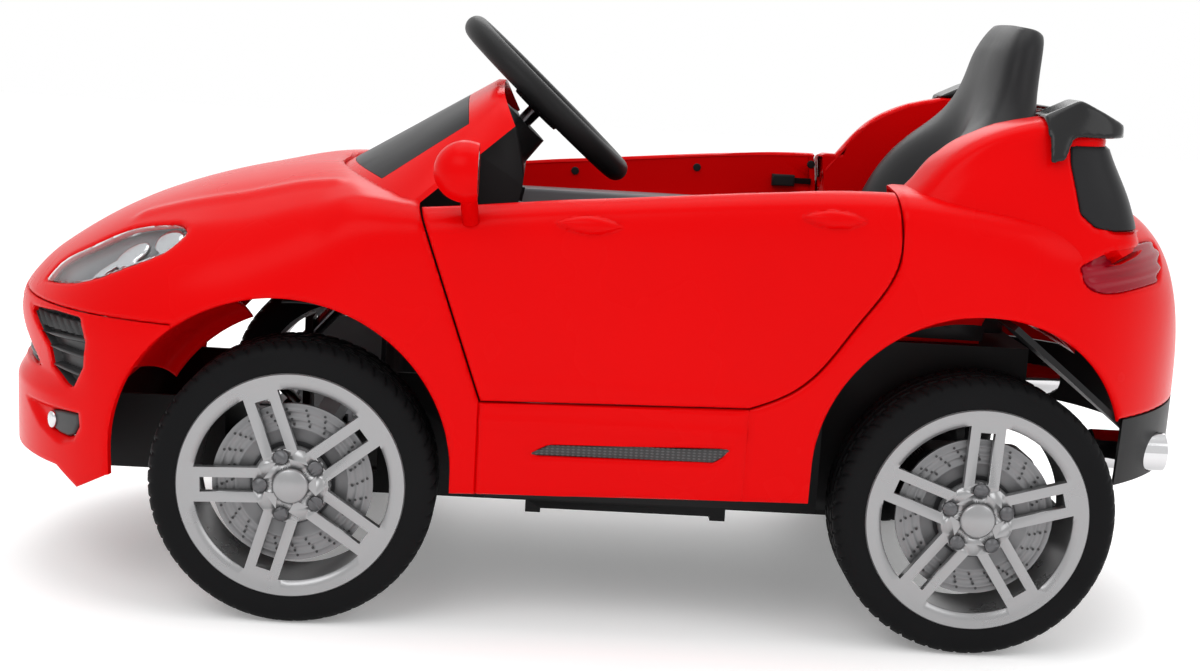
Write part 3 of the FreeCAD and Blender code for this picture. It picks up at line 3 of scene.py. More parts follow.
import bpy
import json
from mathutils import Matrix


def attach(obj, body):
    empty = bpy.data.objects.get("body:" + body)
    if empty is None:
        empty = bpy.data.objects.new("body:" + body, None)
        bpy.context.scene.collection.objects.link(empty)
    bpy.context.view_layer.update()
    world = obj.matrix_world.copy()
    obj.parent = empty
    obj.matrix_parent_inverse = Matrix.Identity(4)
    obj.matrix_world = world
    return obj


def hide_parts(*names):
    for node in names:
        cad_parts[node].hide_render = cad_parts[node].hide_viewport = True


bl_info = {
    "name": "Ride-on car looks",
    "version": (1, 0, 0),
    "blender": (4, 5, 0),
    "location": "View3D > Sidebar > Ride-on car",
    "description": "Body panels, lamps, wheels, cabin and studio for a child's electric ride-on car",
    "category": "Object",
}

import json
import math

import bmesh
import bpy
import numpy as np
from mathutils import Matrix

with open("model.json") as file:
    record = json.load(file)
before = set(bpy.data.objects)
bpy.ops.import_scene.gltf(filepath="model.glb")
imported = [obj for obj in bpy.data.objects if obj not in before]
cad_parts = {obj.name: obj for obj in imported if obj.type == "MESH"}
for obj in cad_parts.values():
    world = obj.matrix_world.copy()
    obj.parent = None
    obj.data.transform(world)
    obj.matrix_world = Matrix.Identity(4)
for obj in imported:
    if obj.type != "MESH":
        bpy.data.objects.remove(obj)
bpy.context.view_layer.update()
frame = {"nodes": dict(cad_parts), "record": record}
NODES = frame["nodes"]
BODY_OF = {n: b for b, names in frame["record"]["behaviour"]["bodies"].items() for n in names}
SLOT_OF = {row["node"]: row["material_slot"] for row in frame["record"]["subparts"]}
MM = 0.001

# Degrees above which an edge within a body panel stays sharp
PANEL_ANGLE = 50

# Sizes in millimetres: body length, half width, cowl height and lowest edge, nose, axles and track
LENGTH, HALF, COWL, FLOOR = 1069.0, 270.0, 380.0, 92.0
NOSE_X = -LENGTH / 2
FRONT_AXLE, REAR_AXLE, AXLE_Z, TRACK_HALF = -256.5, 318.5, 120.0, 219.0
SIDES = (("left", -1), ("right", 1))

# Guides of the lower body: shares of its length, each with a share of cowl height or half width, or a power
TOP = [(0, 0.655), (0.036, 0.755), (0.111, 0.88), (0.195, 0.953), (0.271, 0.99), (0.35, 0.955),
       (0.472, 0.985), (0.715, 1.037), (0.893, 1.016), (0.935, 0.995), (0.958, 0.955), (0.974, 0.895),
       (0.986, 0.80), (1, 0.62)]
SIDE = [(0, 0.985), (0.26, 0.99), (0.42, 0.972), (0.6, 0.98), (0.78, 1.0), (1, 0.985)]
WIDE = [(0, 0.53), (0.26, 0.62), (0.42, 0.745), (0.6, 0.76), (0.8, 0.78), (0.95, 0.67), (1, 0.56)]
POWER = [(0, 2.6), (0.09, 2.8), (0.2, 3.0), (0.27, 4.0), (0.33, 8.0), (0.42, 10.0), (0.7, 10.0), (0.78, 7.0),
         (0.87, 4.5), (0.95, 3.2), (1, 2.8)]
TUCK = [(0, 0.09), (0.3, 0.06), (0.7, 0.06), (1, 0.12)]
# Half width of the flat ends, length of their rounding in plan and its power
NOSE_FLAT, NOSE_ROUND, TAIL_FLAT, TAIL_ROUND, PLAN_POWER = 20.0, 230.0, 20.0, 200.0, 2.0
# Share of the turn that lies on the crown, and the run over which an end closes to its middle
CROWN, CAP = 0.58, 85.0


# Sizes and colours that a user may change
def colour_setting(name, description, default):
    """Setting that holds a colour."""
    return bpy.props.FloatVectorProperty(
        name=name, description=description, subtype="COLOR", size=3, default=default, min=0.0, max=1.0)


class CarLooks(bpy.types.PropertyGroup):
    """Colours and fine sizes of the car's finish."""
    body_red: colour_setting("Body red", "Colour of the moulded body", (0.61, 0.0006, 0.0012))
    trim_black: colour_setting("Trim black", "Colour of trim and under-frame", (0.013, 0.013, 0.0135))
    wheel_silver: colour_setting("Wheel silver", "Colour of rims and hub caps", (0.3, 0.3, 0.305))
    edge_round: bpy.props.FloatProperty(
        name="Panel edge", description="Radius of the rolled edge round each body panel", unit="LENGTH",
        default=0.002, min=0.0005, max=0.01)
    skin_step: bpy.props.FloatProperty(
        name="Skin step", description="Spacing of the points on a body panel", unit="LENGTH", default=0.004,
        min=0.001, max=0.01)


class StudioLooks(bpy.types.PropertyGroup):
    """Studio round the car."""
    floor_tone: colour_setting("Floor", "Colour of the floor", (0.97, 0.97, 0.97))
    floor_glow: bpy.props.FloatProperty(
        name="Floor glow", description="Light of the floor itself, which hides its far edge", default=0.2,
        min=0.0)
    key_power: bpy.props.FloatProperty(
        name="Key light", description="Power of the main soft light", unit="POWER", default=26.0, min=0.0)
    lens: bpy.props.FloatProperty(
        name="Lens", description="Focal length", unit="CAMERA", default=57.0, min=1.0)


# Finishes
def shader(name):
    """New material with its node tree, shader node and Object coordinates."""
    finish = bpy.data.materials.new(name)
    finish.use_nodes = True
    tree = finish.node_tree
    surface = tree.nodes["Principled BSDF"]
    coords = tree.nodes.new("ShaderNodeTexCoord")
    return finish, tree, surface, coords.outputs["Object"]


def noise(tree, coords, scale, detail=3.0, rough=0.5):
    """Noise over a piece, as a value from 0 to 1."""
    node = tree.nodes.new("ShaderNodeTexNoise")
    node.inputs["Scale"].default_value = scale
    node.inputs["Detail"].default_value = detail
    node.inputs["Roughness"].default_value = rough
    tree.links.new(coords, node.inputs["Vector"])
    return node.outputs["Fac"]


def spread(tree, value, low, high, from_low=0.3, from_high=0.7):
    """Value moved from one range to another."""
    node = tree.nodes.new("ShaderNodeMapRange")
    for key, number in (("From Min", from_low), ("From Max", from_high), ("To Min", low), ("To Max", high)):
        node.inputs[key].default_value = number
    tree.links.new(value, node.inputs["Value"])
    return node.outputs["Result"]


def blended(tree, factor, first, second):
    """Colour between two colours by a factor."""
    node = tree.nodes.new("ShaderNodeMix")
    node.data_type = "RGBA"
    tree.links.new(factor, node.inputs["Factor"])
    for socket, colour in (("A", first), ("B", second)):
        spot = [s for s in node.inputs if s.name == socket and s.type == "RGBA"][0]
        spot.default_value = (*colour, 1.0)
    return [s for s in node.outputs if s.type == "RGBA"][0]


def bumped(tree, surface, height, strength, distance):
    """Bump by a height on a shader's normal."""
    node = tree.nodes.new("ShaderNodeBump")
    node.inputs["Strength"].default_value = strength
    node.inputs["Distance"].default_value = distance
    tree.links.new(height, node.inputs["Height"])
    tree.links.new(node.outputs["Normal"], surface.inputs["Normal"])


GRAIN_HEIGHT, GRAIN_ROUGH, GLOSS_SPREAD = 0.0004, 0.6, 0.04


def moulded(name, colour, roughness, grain, depth, patch, patchy, metallic=0.0, shine=0.5):
    """Moulded plastic or paint: fine surface grain as bump, with slow changes of tone and of gloss."""
    finish, tree, surface, coords = shader(name)
    slow = noise(tree, coords, patch)
    dark = tuple(c * (1 - patchy) for c in colour)
    light = tuple(min(1.0, c * (1 + patchy)) for c in colour)
    tree.links.new(blended(tree, slow, dark, light), surface.inputs["Base Color"])
    tree.links.new(spread(tree, slow, roughness - GLOSS_SPREAD, roughness + GLOSS_SPREAD),
                   surface.inputs["Roughness"])
    bumped(tree, surface, noise(tree, coords, grain, rough=GRAIN_ROUGH), depth, GRAIN_HEIGHT)
    surface.inputs["Metallic"].default_value = metallic
    surface.inputs["Specular IOR Level"].default_value = shine
    return finish


# Lattice: radians per metre of its waves along and up, tone of the painted highlight on its ridges, and their
# height
LATTICE_ALONG, LATTICE_UP, LATTICE_RIDGE_HIGHLIGHT, LATTICE_HEIGHT = 720.0, 1250.0, 4.5, 0.001


def latticed(name, colour):
    """Black strip with a raised diamond lattice: two slanted waves across the side view, as bump and as a
    painted highlight that makes the raised ridges lighter.
    """
    finish, tree, surface, coords = shader(name)
    both = tree.nodes.new("ShaderNodeMath")
    both.operation = "MULTIPLY"
    for k, slope in enumerate((-1.0, 1.0)):
        turn = tree.nodes.new("ShaderNodeVectorMath")
        turn.operation = "DOT_PRODUCT"
        turn.inputs[1].default_value = (LATTICE_ALONG, 0.0, LATTICE_UP * slope)
        tree.links.new(coords, turn.inputs[0])
        wave = tree.nodes.new("ShaderNodeMath")
        wave.operation = "SINE"
        tree.links.new(turn.outputs["Value"], wave.inputs[0])
        tree.links.new(wave.outputs["Value"], both.inputs[k])
    raised = spread(tree, both.outputs["Value"], 0.0, 1.0, 0.0, 0.5)
    # painted highlight: the raised ridges are coloured lighter than the black strip, following their height
    light = tuple(c * LATTICE_RIDGE_HIGHLIGHT for c in colour)
    tree.links.new(blended(tree, raised, colour, light), surface.inputs["Base Color"])
    surface.inputs["Roughness"].default_value = 0.4
    bumped(tree, surface, raised, 0.6, LATTICE_HEIGHT)
    return finish


FINISHES = {}


def make_finishes(looks):
    """All finishes: colour, roughness, grain and its strength, tone patches and their strength, and more."""
    table = {
        "red": ("gloss_red", looks.body_red, 0.26, 700, 0.03, 6, 0.05, {"shine": 0.05}),
        "black": ("satin_black", looks.trim_black, 0.42, 1400, 0.18, 14, 0.12, {"shine": 0.1}),
        "gloss_black": ("gloss_black", looks.trim_black, 0.2, 900, 0.05, 10, 0.08, {"shine": 0.2}),
        "vent": ("vent_black", (0.03, 0.03, 0.031), 0.34, 1200, 0.1, 14, 0.1, {"shine": 0.25}),
        "seat": ("seat_black", (0.015, 0.015, 0.016), 0.36, 1100, 0.14, 12, 0.12, {"shine": 0.12}),
        "grey": ("ledge_grey", (0.2, 0.2, 0.21), 0.4, 1200, 0.15, 12, 0.08, {}),
        "silver": ("wheel_silver", looks.wheel_silver, 0.3, 1300, 0.06, 25, 0.05, {"metallic": 0.75}),
        "disc": ("brake_disc", (0.2, 0.2, 0.205), 0.38, 900, 0.12, 30, 0.1, {"metallic": 0.6}),
        "tyre": ("tyre_black", (0.008, 0.008, 0.0085), 0.5, 1000, 0.2, 20, 0.15, {"shine": 0.03}),
        "bolt": ("bolt_dark", (0.1, 0.1, 0.105), 0.35, 900, 0.1, 30, 0.1, {"metallic": 0.7}),
        # painted shade: dark rounds that stand for the shade inside the disc's drilled holes
        "hole": ("hole_dark", (0.02, 0.02, 0.021), 0.5, 900, 0.05, 30, 0.1, {}),
        "chrome": ("plated", (0.6, 0.6, 0.61), 0.12, 900, 0.03, 20, 0.03, {"metallic": 1.0}),
        "steel": ("zinc_steel", (0.4, 0.4, 0.42), 0.35, 700, 0.1, 40, 0.12, {"metallic": 1.0}),
        "mirror": ("mirror_glass", (0.35, 0.36, 0.38), 0.08, 500, 0.01, 8, 0.04, {"metallic": 0.9}),
        "tail": ("tail_lens", (0.24, 0.003, 0.012), 0.16, 500, 0.04, 12, 0.08, {"shine": 0.14}),
        "screen": ("screen_black", (0.02, 0.02, 0.021), 0.32, 900, 0.04, 7, 0.1, {"shine": 0.05}),
        "lamp_grey": ("lamp_grey", (0.16, 0.16, 0.165), 0.3, 900, 0.05, 20, 0.1, {"metallic": 0.3}),
        "clear": ("clear_lens", (0.93, 0.94, 0.95), 0.05, 500, 0.01, 10, 0.02, {}),
    }
    for key, (name, colour, *numbers, more) in table.items():
        FINISHES[key] = moulded(name, tuple(colour), *numbers, **more)
    FINISHES["lattice"] = latticed("strip_black", tuple(looks.trim_black))
    surface = FINISHES["clear"].node_tree.nodes["Principled BSDF"]
    surface.inputs["Transmission Weight"].default_value = 1.0
    surface.inputs["IOR"].default_value = 1.2


# Meshes
def put(name, verts, faces, node=None, body=None, finish="black", angle=35.0, slot=None):
    """Piece from points in millimetres and faces."""
    mesh = bpy.data.meshes.new(name)
    mesh.from_pydata((np.asarray(verts, float) * MM).tolist(), [], np.asarray(faces).tolist())
    return place_piece(name, mesh, node, body, finish, angle)


def place_piece(name, mesh, node=None, body=None, finish="black", angle=35.0):
    """Piece from a mesh: in place of a CAD node, or added to a body."""
    mesh.validate()
    mesh.shade_smooth()
    mesh.set_sharp_from_angle(angle=math.radians(angle))
    piece = bpy.data.objects.new(name, mesh)
    bpy.context.scene.collection.objects.link(piece)
    mesh.materials.append(FINISHES[finish])
    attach(piece, body or BODY_OF[node])
    if node:
        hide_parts(node)
    return piece


JOINED = 0.00002


def merged(node):
    """Copy of a CAD node's mesh with its doubled points joined."""
    mesh = NODES[node].data.copy()
    mesh.materials.clear()
    work = bmesh.new()
    work.from_mesh(mesh)
    bmesh.ops.remove_doubles(work, verts=work.verts, dist=JOINED)
    work.to_mesh(mesh)
    work.free()
    for layer in list(mesh.uv_layers):
        mesh.uv_layers.remove(layer)
    if mesh.has_custom_normals:
        mesh.normals_split_custom_set([(0.0, 0.0, 0.0)] * len(mesh.loops))
    return mesh


def shaped(node, finish, angle=30.0):
    """Piece that keeps a CAD node's form."""
    return place_piece(node + "_piece", merged(node), node, finish=finish, angle=angle)


def handed(faces, sign):
    """Faces of a piece for the right side, turned round for the left."""
    return faces if sign > 0 else faces[:, ::-1]


# Lower body surface
def along(table, at):
    """Smooth guide through (place, value) pairs: cubic pieces whose slopes never overshoot."""
    xs, ys = np.array(table, float).T
    steps = np.diff(xs)
    slopes = np.diff(ys) / steps
    pairs = slopes[:-1] * slopes[1:]
    sums = np.where(pairs > 0, slopes[:-1] + slopes[1:], 1.0)
    bends = np.concatenate([slopes[:1], np.where(pairs > 0, 2 * pairs / sums, 0.0), slopes[-1:]])
    i = np.clip(np.searchsorted(xs, at) - 1, 0, len(xs) - 2)
    t = (at - xs[i]) / steps[i]
    rise = ys[i + 1] - ys[i]
    first, last = bends[i] * steps[i], bends[i + 1] * steps[i]
    return ys[i] + first * t + (3 * rise - 2 * first - last) * t**2 + (first + last - 2 * rise) * t**3


def half_width(share):
    """Half width along the body: full width rounded off in plan by a superellipse at nose and tail."""
    full = along(SIDE, share) * HALF
    near_nose = np.clip(share * LENGTH / NOSE_ROUND, 0, 1)
    near_tail = np.clip((1 - share) * LENGTH / TAIL_ROUND, 0, 1)
    grown = (1 - (1 - near_nose) ** PLAN_POWER) ** (1 / PLAN_POWER)
    shrunk = (1 - (1 - near_tail) ** PLAN_POWER) ** (1 / PLAN_POWER)
    return TAIL_FLAT + (NOSE_FLAT + (full - NOSE_FLAT) * grown - TAIL_FLAT) * shrunk


# Distance along the plan edge, so that points are evenly spaced where nose and tail turn
_ends = 0.5 * np.linspace(0, 1, 1500) ** 2.4
GUIDE_SHARE = np.concatenate([_ends, 1 - _ends[-2::-1]])
GUIDE_RUN = np.concatenate([[0.0], np.cumsum(np.hypot(np.diff(GUIDE_SHARE) * LENGTH,
                                                      np.diff(half_width(GUIDE_SHARE))))])
RUN = GUIDE_RUN[-1]
TURN_MM = 560.0


def run_at(share):
    """Distance along the plan edge at a share of the body's length."""
    return float(np.interp(share, GUIDE_SHARE, GUIDE_RUN))


def runs(start, end):
    """Span of that distance between two shares of the length."""
    return run_at(start), run_at(end)


def lower_guides(share):
    """Half width, top, widest height, crown power and tuck of the lower body at shares of its length."""
    return (half_width(share), along(TOP, share) * COWL, along(WIDE, share) * COWL, along(POWER, share),
            along(TUCK, share))


def lower_body(run, turn):
    """Lower body: a superellipse crown above the widest line, a wall below it that tucks in with the
    square of its depth, and flat ends drawn in to a point. Run goes along the body, turn from side to
    side."""
    share = np.interp(run, GUIDE_RUN, GUIDE_SHARE)
    half, top, wide, power, tuck = lower_guides(share)
    side = np.abs(turn)
    angle = (1 - np.clip(side / CROWN, 0, 1)) * np.pi / 2
    cos, sin = np.cos(angle), np.sin(angle)
    reach = (np.abs(cos) ** power + np.abs(sin) ** power) ** (-1 / power)
    fall = np.clip((side - CROWN) / (1 - CROWN), 0, 1)
    y = half * (reach * cos - tuck * fall**2)
    z = wide + (top - wide) * reach * sin + (FLOOR - wide) * fall
    end = 1 - np.clip(np.maximum(-run, run - RUN) / CAP, 0, 1)
    middle = (FLOOR + top) / 2
    return np.stack([NOSE_X + share * LENGTH, np.sign(turn) * y * end, middle + (z - middle) * end], -1)


def normals(surface, u, v, scale, step=0.4):
    """Unit normals from small steps along both parameters."""
    a = surface(u + step / scale[0], v) - surface(u - step / scale[0], v)
    b = surface(u, v + step / scale[1]) - surface(u, v - step / scale[1])
    n = np.cross(a, b)
    return n / np.maximum(np.linalg.norm(n, axis=-1, keepdims=True), 1e-9)


def curve(points, count=24):
    """Natural cubic spline through points, with the distance between them as its parameter."""
    p = np.array(points, float)
    t = np.concatenate([[0.0], np.cumsum(np.linalg.norm(np.diff(p, axis=0), axis=1))])
    h = np.diff(t)
    n = len(p)
    system = np.eye(n)
    right = np.zeros_like(p)
    for i in range(1, n - 1):
        system[i, i - 1:i + 2] = h[i - 1], 2 * (h[i - 1] + h[i]), h[i]
        right[i] = 6 * ((p[i + 1] - p[i]) / h[i] - (p[i] - p[i - 1]) / h[i - 1])
    m = np.linalg.solve(system, right)
    at = np.linspace(0, t[-1], count * (n - 1) + 1)
    i = np.clip(np.searchsorted(t, at) - 1, 0, n - 2)
    a, b, w = (t[i + 1] - at)[:, None], (at - t[i])[:, None], h[i][:, None]
    bend = (m[i] * a**3 + m[i + 1] * b**3) / (6 * w)
    return bend + (p[i] / w - m[i] * w / 6) * a + (p[i + 1] / w - m[i + 1] * w / 6) * b


def side_points(shares):
    """Points of a side view from shares of length and cowl height."""
    return np.array([(NOSE_X + a * LENGTH, b * COWL) for a, b in shares])


def depth_in(outline, a, b):
    """Signed distance of points to a closed outline, positive inside it."""
    p = np.asarray(outline, float)
    q = np.roll(p, -1, 0)
    e = q - p
    size = np.maximum((e**2).sum(1), 1e-9)
    slant = e[:, 0] / np.where(np.abs(e[:, 1]) < 1e-9, 1e-9, e[:, 1])
    a, b = np.broadcast_arrays(a, b)
    shape = a.shape
    a, b = a.ravel(), b.ravel()
    found = np.empty(a.size)
    for part in np.array_split(np.arange(a.size), 1 + a.size * len(p) // 3000000):
        da, db = a[part, None] - p[:, 0], b[part, None] - p[:, 1]
        t = np.clip((da * e[:, 0] + db * e[:, 1]) / size, 0, 1)
        gap = np.hypot(da - t * e[:, 0], db - t * e[:, 1]).min(1)
        crossed = ((p[:, 1] > b[part, None]) != (q[:, 1] > b[part, None])) & (da < db * slant)
        found[part] = np.where(crossed.sum(1) % 2 == 1, gap, -gap)
    return found.reshape(shape)


def grid(rows, cols, wrap=False):
    """Corner numbers of the quads of a grid, joined round its second parameter where asked."""
    i, j = np.meshgrid(np.arange(rows - 1), np.arange(cols if wrap else cols - 1), indexing="ij")
    k = (j + 1) % cols
    return np.stack([i * cols + j, (i + 1) * cols + j, (i + 1) * cols + k, i * cols + k], -1).reshape(-1, 4)


def cut_skin(surface, u_span, v_span, scale, step, depth_of, roll, relief=None, probe=0.2):
    """Part of a surface inside a depth function. Grid points just outside are moved onto the edge along
    the slope of the depth, and the edge is rolled inward by a quarter circle."""
    rows = int((u_span[1] - u_span[0]) * scale[0] / step) + 2
    cols = int((v_span[1] - v_span[0]) * scale[1] / step) + 2
    u, v = np.meshgrid(np.linspace(*u_span, rows), np.linspace(*v_span, cols), indexing="ij")
    depth = depth_of(surface(u, v)).ravel()
    quads = grid(rows, cols)
    quads = quads[(depth[quads] > 0).any(1)]
    used, index = np.unique(quads, return_inverse=True)
    quads = index.reshape(-1, 4)
    u, v, depth = u.ravel()[used], v.ravel()[used], depth[used]
    out = depth < 0
    a, b = u[out], v[out]
    for _ in range(5):
        here = depth_of(surface(a, b))
        da = (depth_of(surface(a + probe / scale[0], b)) - here) / probe
        db = (depth_of(surface(a, b + probe / scale[1])) - here) / probe
        size = np.maximum(da**2 + db**2, 0.1)
        a = a - np.clip(here * da / size, -step, step) / scale[0]
        b = b - np.clip(here * db / size, -step, step) / scale[1]
    u[out], v[out] = a, b
    points = surface(u, v)
    normal = normals(surface, u, v, scale)
    depth = np.clip(depth_of(points), 0, roll)
    depth[out] = 0
    if relief is not None:
        points = points + normal * relief(points)[:, None]
    points = points - normal * (roll - np.sqrt(roll**2 - (roll - depth) ** 2))[:, None]
    return points, quads, normal


# Outlines of the panels in side view and in plan, in millimetres
def leaf(lower, upper):
    """Closed outline of two smooth edges."""
    return np.concatenate([curve(side_points(lower))[:-1], curve(side_points(upper))[:-1]])


DOOR_LOW, DOOR_TOP = (0.4027, 0.5237), (0.3251, 1.1316)
DOOR_REAR = [(0.6113, 0.5395), (0.6487, 0.592), (0.6908, 0.742), (0.718, 0.876), (0.7161, 1.016),
             (0.7151, 1.1316)]
DOOR = np.concatenate([side_points([DOOR_LOW]), curve(side_points(DOOR_REAR), 12), side_points([DOOR_TOP])])
FRONT = side_points([(-0.2, -0.5), (DOOR_LOW[0], -0.5), DOOR_LOW, DOOR_TOP, (DOOR_TOP[0], 1.6), (-0.2, 1.6)])
SILL = side_points([(DOOR_LOW[0], -0.5), (DOOR_REAR[0][0], -0.5), DOOR_REAR[0], DOOR_LOW])
UNDER = side_points([(-0.05, 0.29), (0.062, 0.29), (0.0825, 0.25), (0.112, 0.3), (0.38, 0.313),
                     (0.665, 0.334), (0.895, 0.334), (0.91, 0.547), (1.05, 0.566)])
HEADLIGHT = leaf(
    [(0.044, 0.698), (0.068, 0.709), (0.09, 0.725), (0.127, 0.771), (0.16, 0.819), (0.17, 0.846)],
    [(0.17, 0.846), (0.165, 0.857), (0.155, 0.858), (0.117, 0.834), (0.08, 0.782), (0.055, 0.738),
     (0.044, 0.698)])
TAIL_LAMP = leaf(
    [(0.859, 0.893), (0.866, 0.85), (0.882, 0.834), (0.906, 0.838), (0.94, 0.849)],
    [(0.94, 0.849), (0.947, 0.889), (0.947, 0.919), (0.923, 0.936), (0.881, 0.925), (0.859, 0.893)])
VENT = side_points([(0.031, 0.638), (0.062, 0.648), (0.087, 0.647), (0.093, 0.595), (0.091, 0.536),
                    (0.08, 0.482), (0.072, 0.488), (0.053, 0.514), (0.051, 0.56), (0.043, 0.59)])
FOG = side_points([(0.055, 0.415), (0.067, 0.423), (0.0845, 0.426), (0.0855, 0.405), (0.08, 0.372),
                   (0.073, 0.362), (0.0635, 0.364), (0.055, 0.374)])
TRIM = side_points([(0.4401, 0.4105), (0.4579, 0.4368), (0.6024, 0.45), (0.5879, 0.4158)])
GLASS = side_points([(0.846, 1.15), (1.05, 1.158), (1.05, 0.97), (0.885, 0.97), (0.868, 0.978),
                     (0.856, 1.005), (0.847, 1.11)])
COWL_EDGE = [(NOSE_X + a * LENGTH, b * HALF) for a, b in (
    (0.339, -0.8), (0.308, -0.63), (0.285, -0.41), (0.27, 0), (0.285, 0.41), (0.308, 0.63), (0.339, 0.8))]
COWL_HOLE = np.concatenate([curve(COWL_EDGE, 12), [(-53.0, 216.0), (-53.0, -216.0)]])
COWL_LOW = 228.0
GRILLE_LOW, GRILLE_HIGH, GRILLE_BACK = 190.0, 240.0, NOSE_X + 120.0
GRILLE_HALF_LOW, GRILLE_HALF_HIGH, GRILLE_SLOPE = 160.0, 84.0, 0.6
BUMPER_X, BUMPER_Z, BUMPER_GAP = NOSE_X + 0.165 * LENGTH, 0.66 * COWL, 0.8
# Wheel arches: middle along and up, and radius
ARCHES = ((-269.5, 134.0, 144.0), (310.5, 158.0, 136.0))
# Upper quarters: share of cowl height, shares of length at front and rear, share of half width
UPPER = [(0.9, 0.69, 0.927, 0.955), (1.0316, 0.7245, 0.91, 0.93), (1.118, 0.7507, 0.8945, 0.9),
         (1.179, 0.79, 0.884, 0.868), (1.205, 0.8274, 0.8789, 0.826)]
UPPER_LOW, UPPER_TOP, UPPER_CAP, UPPER_POWER = UPPER[0][0] * COWL, UPPER[-1][0] * COWL, 200.0, 6
# Least distances from the middle plane of front lamps, tail lamps and doors, and gaps at inserts and doors
LAMP_IN, TAIL_IN, DOOR_IN, FIT, DOOR_GAP = 81.0, 135.0, 238.0, 0.4, 1.7
CABIN_HALF, CABIN_REAR, CABIN_FLOOR = 190.0, 400.0, 258.0
# Keeper slot for the latch tongue: its middle, half sizes and rear end
KEEPER_Y, KEEPER_Z, KEEPER_WIDE, KEEPER_HIGH, KEEPER_END = 235.5, 359.9, 4.5, 5.5, 246.0


def least(*depths):
    """Smallest of several depths: the part that lies inside all of them."""
    return np.minimum.reduce(depths)


def side_depth(outline, p):
    """Depth of points inside an outline drawn in side view."""
    return depth_in(outline, p[..., 0], p[..., 2])


def clear_below(p):
    """Depth above the under-edge and outside both wheel arches."""
    x, z = p[..., 0], p[..., 2]
    arches = [np.hypot(x - cx, np.maximum(z - cz, 0)) - r for cx, cz, r in ARCHES]
    return least(z - np.interp(x, UNDER[:, 0], UNDER[:, 1]), *arches)


def lamp_depth(p, outline, inner=LAMP_IN):
    """Depth inside an outline of the side view, away from the middle plane."""
    return least(side_depth(outline, p), np.abs(p[..., 1]) - inner)


def cabin_depth(p):
    """Depth inside the open cabin, in plan."""
    return least(CABIN_HALF - np.abs(p[..., 1]), CABIN_REAR - p[..., 0])


def front_depth(p):
    """Depth inside bonnet and wings: behind or above the bumper, round headlights and cowl."""
    x, y, z = p[..., 0], p[..., 1], p[..., 2]
    behind = np.maximum(x - BUMPER_X, z - BUMPER_Z)
    cowl = least(depth_in(COWL_HOLE, x, y), z - COWL_LOW)
    return least(side_depth(FRONT, p), behind, clear_below(p), -lamp_depth(p, HEADLIGHT), -cowl)


def grille_depth(p):
    """Depth inside the grille, which grows wider towards the lip."""
    x, y, z = p[..., 0], p[..., 1], p[..., 2]
    half = np.interp(z, [GRILLE_LOW, GRILLE_HIGH], [GRILLE_HALF_LOW, GRILLE_HALF_HIGH])
    return least(GRILLE_SLOPE * (half - np.abs(y)), z - GRILLE_LOW, GRILLE_HIGH - z, GRILLE_BACK - x)


def bumper_depth(p):
    """Depth inside the bumper, round grille, vents and fog lamps."""
    return least(BUMPER_X - p[..., 0], BUMPER_Z - BUMPER_GAP - p[..., 2], clear_below(p),
                 -lamp_depth(p, VENT), -lamp_depth(p, FOG), -grille_depth(p))


def sill_depth(p):
    """Depth inside the sills, round their strips."""
    return least(side_depth(SILL, p), clear_below(p), -side_depth(TRIM, p))


def door_depth(p):
    """Depth inside the doors."""
    return least(side_depth(DOOR, p) - DOOR_GAP, np.abs(p[..., 1]) - DOOR_IN)


def rear_depth(p):
    """Depth inside the tail: behind sill and door, round cabin and tail lamps."""
    cabin = least(cabin_depth(p), p[..., 2] - CABIN_FLOOR)
    return least(p[..., 0] - SILL[1, 0], -side_depth(DOOR, p), clear_below(p), -cabin,
                 -lamp_depth(p, TAIL_LAMP, TAIL_IN))


def upper_guides(z):
    """Middle, half length and half width of the upper quarters at heights."""
    front, rear, half = (along([(row[0] * COWL, row[k]) for row in UPPER], z) for k in (1, 2, 3))
    return NOSE_X + (front + rear) / 2 * LENGTH, (rear - front) / 2 * LENGTH, half * HALF


def upper_body(rise, turn):
    """Upper quarters: superellipse plans whose ends and width follow smooth guides up the height, closed
    by a flat top drawn in to its middle."""
    z = np.clip(rise, UPPER_LOW, UPPER_TOP)
    middle, long, half = upper_guides(z)
    end = 1 - np.clip((rise - UPPER_TOP) / UPPER_CAP, 0, 1)
    cos, sin = np.cos(turn), -np.sin(turn)
    reach = (cos**UPPER_POWER + sin**UPPER_POWER) ** (-1 / UPPER_POWER)
    return np.stack([middle + long * reach * cos * end, half * reach * sin * end, z + 0 * cos], -1)


def keeper_depth(p):
    """Depth inside the keeper slots, boxes open towards the doors."""
    return least(KEEPER_HIGH - np.abs(p[..., 2] - KEEPER_Z),
                 KEEPER_WIDE - np.abs(np.abs(p[..., 1]) - KEEPER_Y), KEEPER_END - p[..., 0])


def quarter_depth(p):
    """Depth inside the upper quarters, round cabin, doors, rear window, tail lamps and keeper slots."""
    return least(-cabin_depth(p), -side_depth(DOOR, p), -side_depth(GLASS, p),
                 -lamp_depth(p, TAIL_LAMP, TAIL_IN), -keeper_depth(p))


def glass_depth(p):
    """Depth inside the rear window."""
    return least(side_depth(GLASS, p) - FIT, -cabin_depth(p))


# About how many millimetres one unit of each parameter spans on the two surfaces
LOWER_SCALE = (1.0, TURN_MM)
UPPER_SCALE = (1.0, 260.0)


def walled(points, quads, normal, wall):
    """Skin with a second face behind it at a wall's distance, joined round its open edges."""
    n = len(points)
    edges = np.concatenate([quads[:, [k, (k + 1) % 4]] for k in range(4)])
    key = np.sort(edges, 1)
    _, first, count = np.unique(key[:, 0] * n + key[:, 1], return_index=True, return_counts=True)
    rim = edges[first[count == 1]]
    sides = np.stack([rim[:, 1], rim[:, 0], rim[:, 0] + n, rim[:, 1] + n], -1)
    faces = np.concatenate([quads, quads[:, ::-1] + n, sides])
    return np.concatenate([points, points - normal * wall]), faces


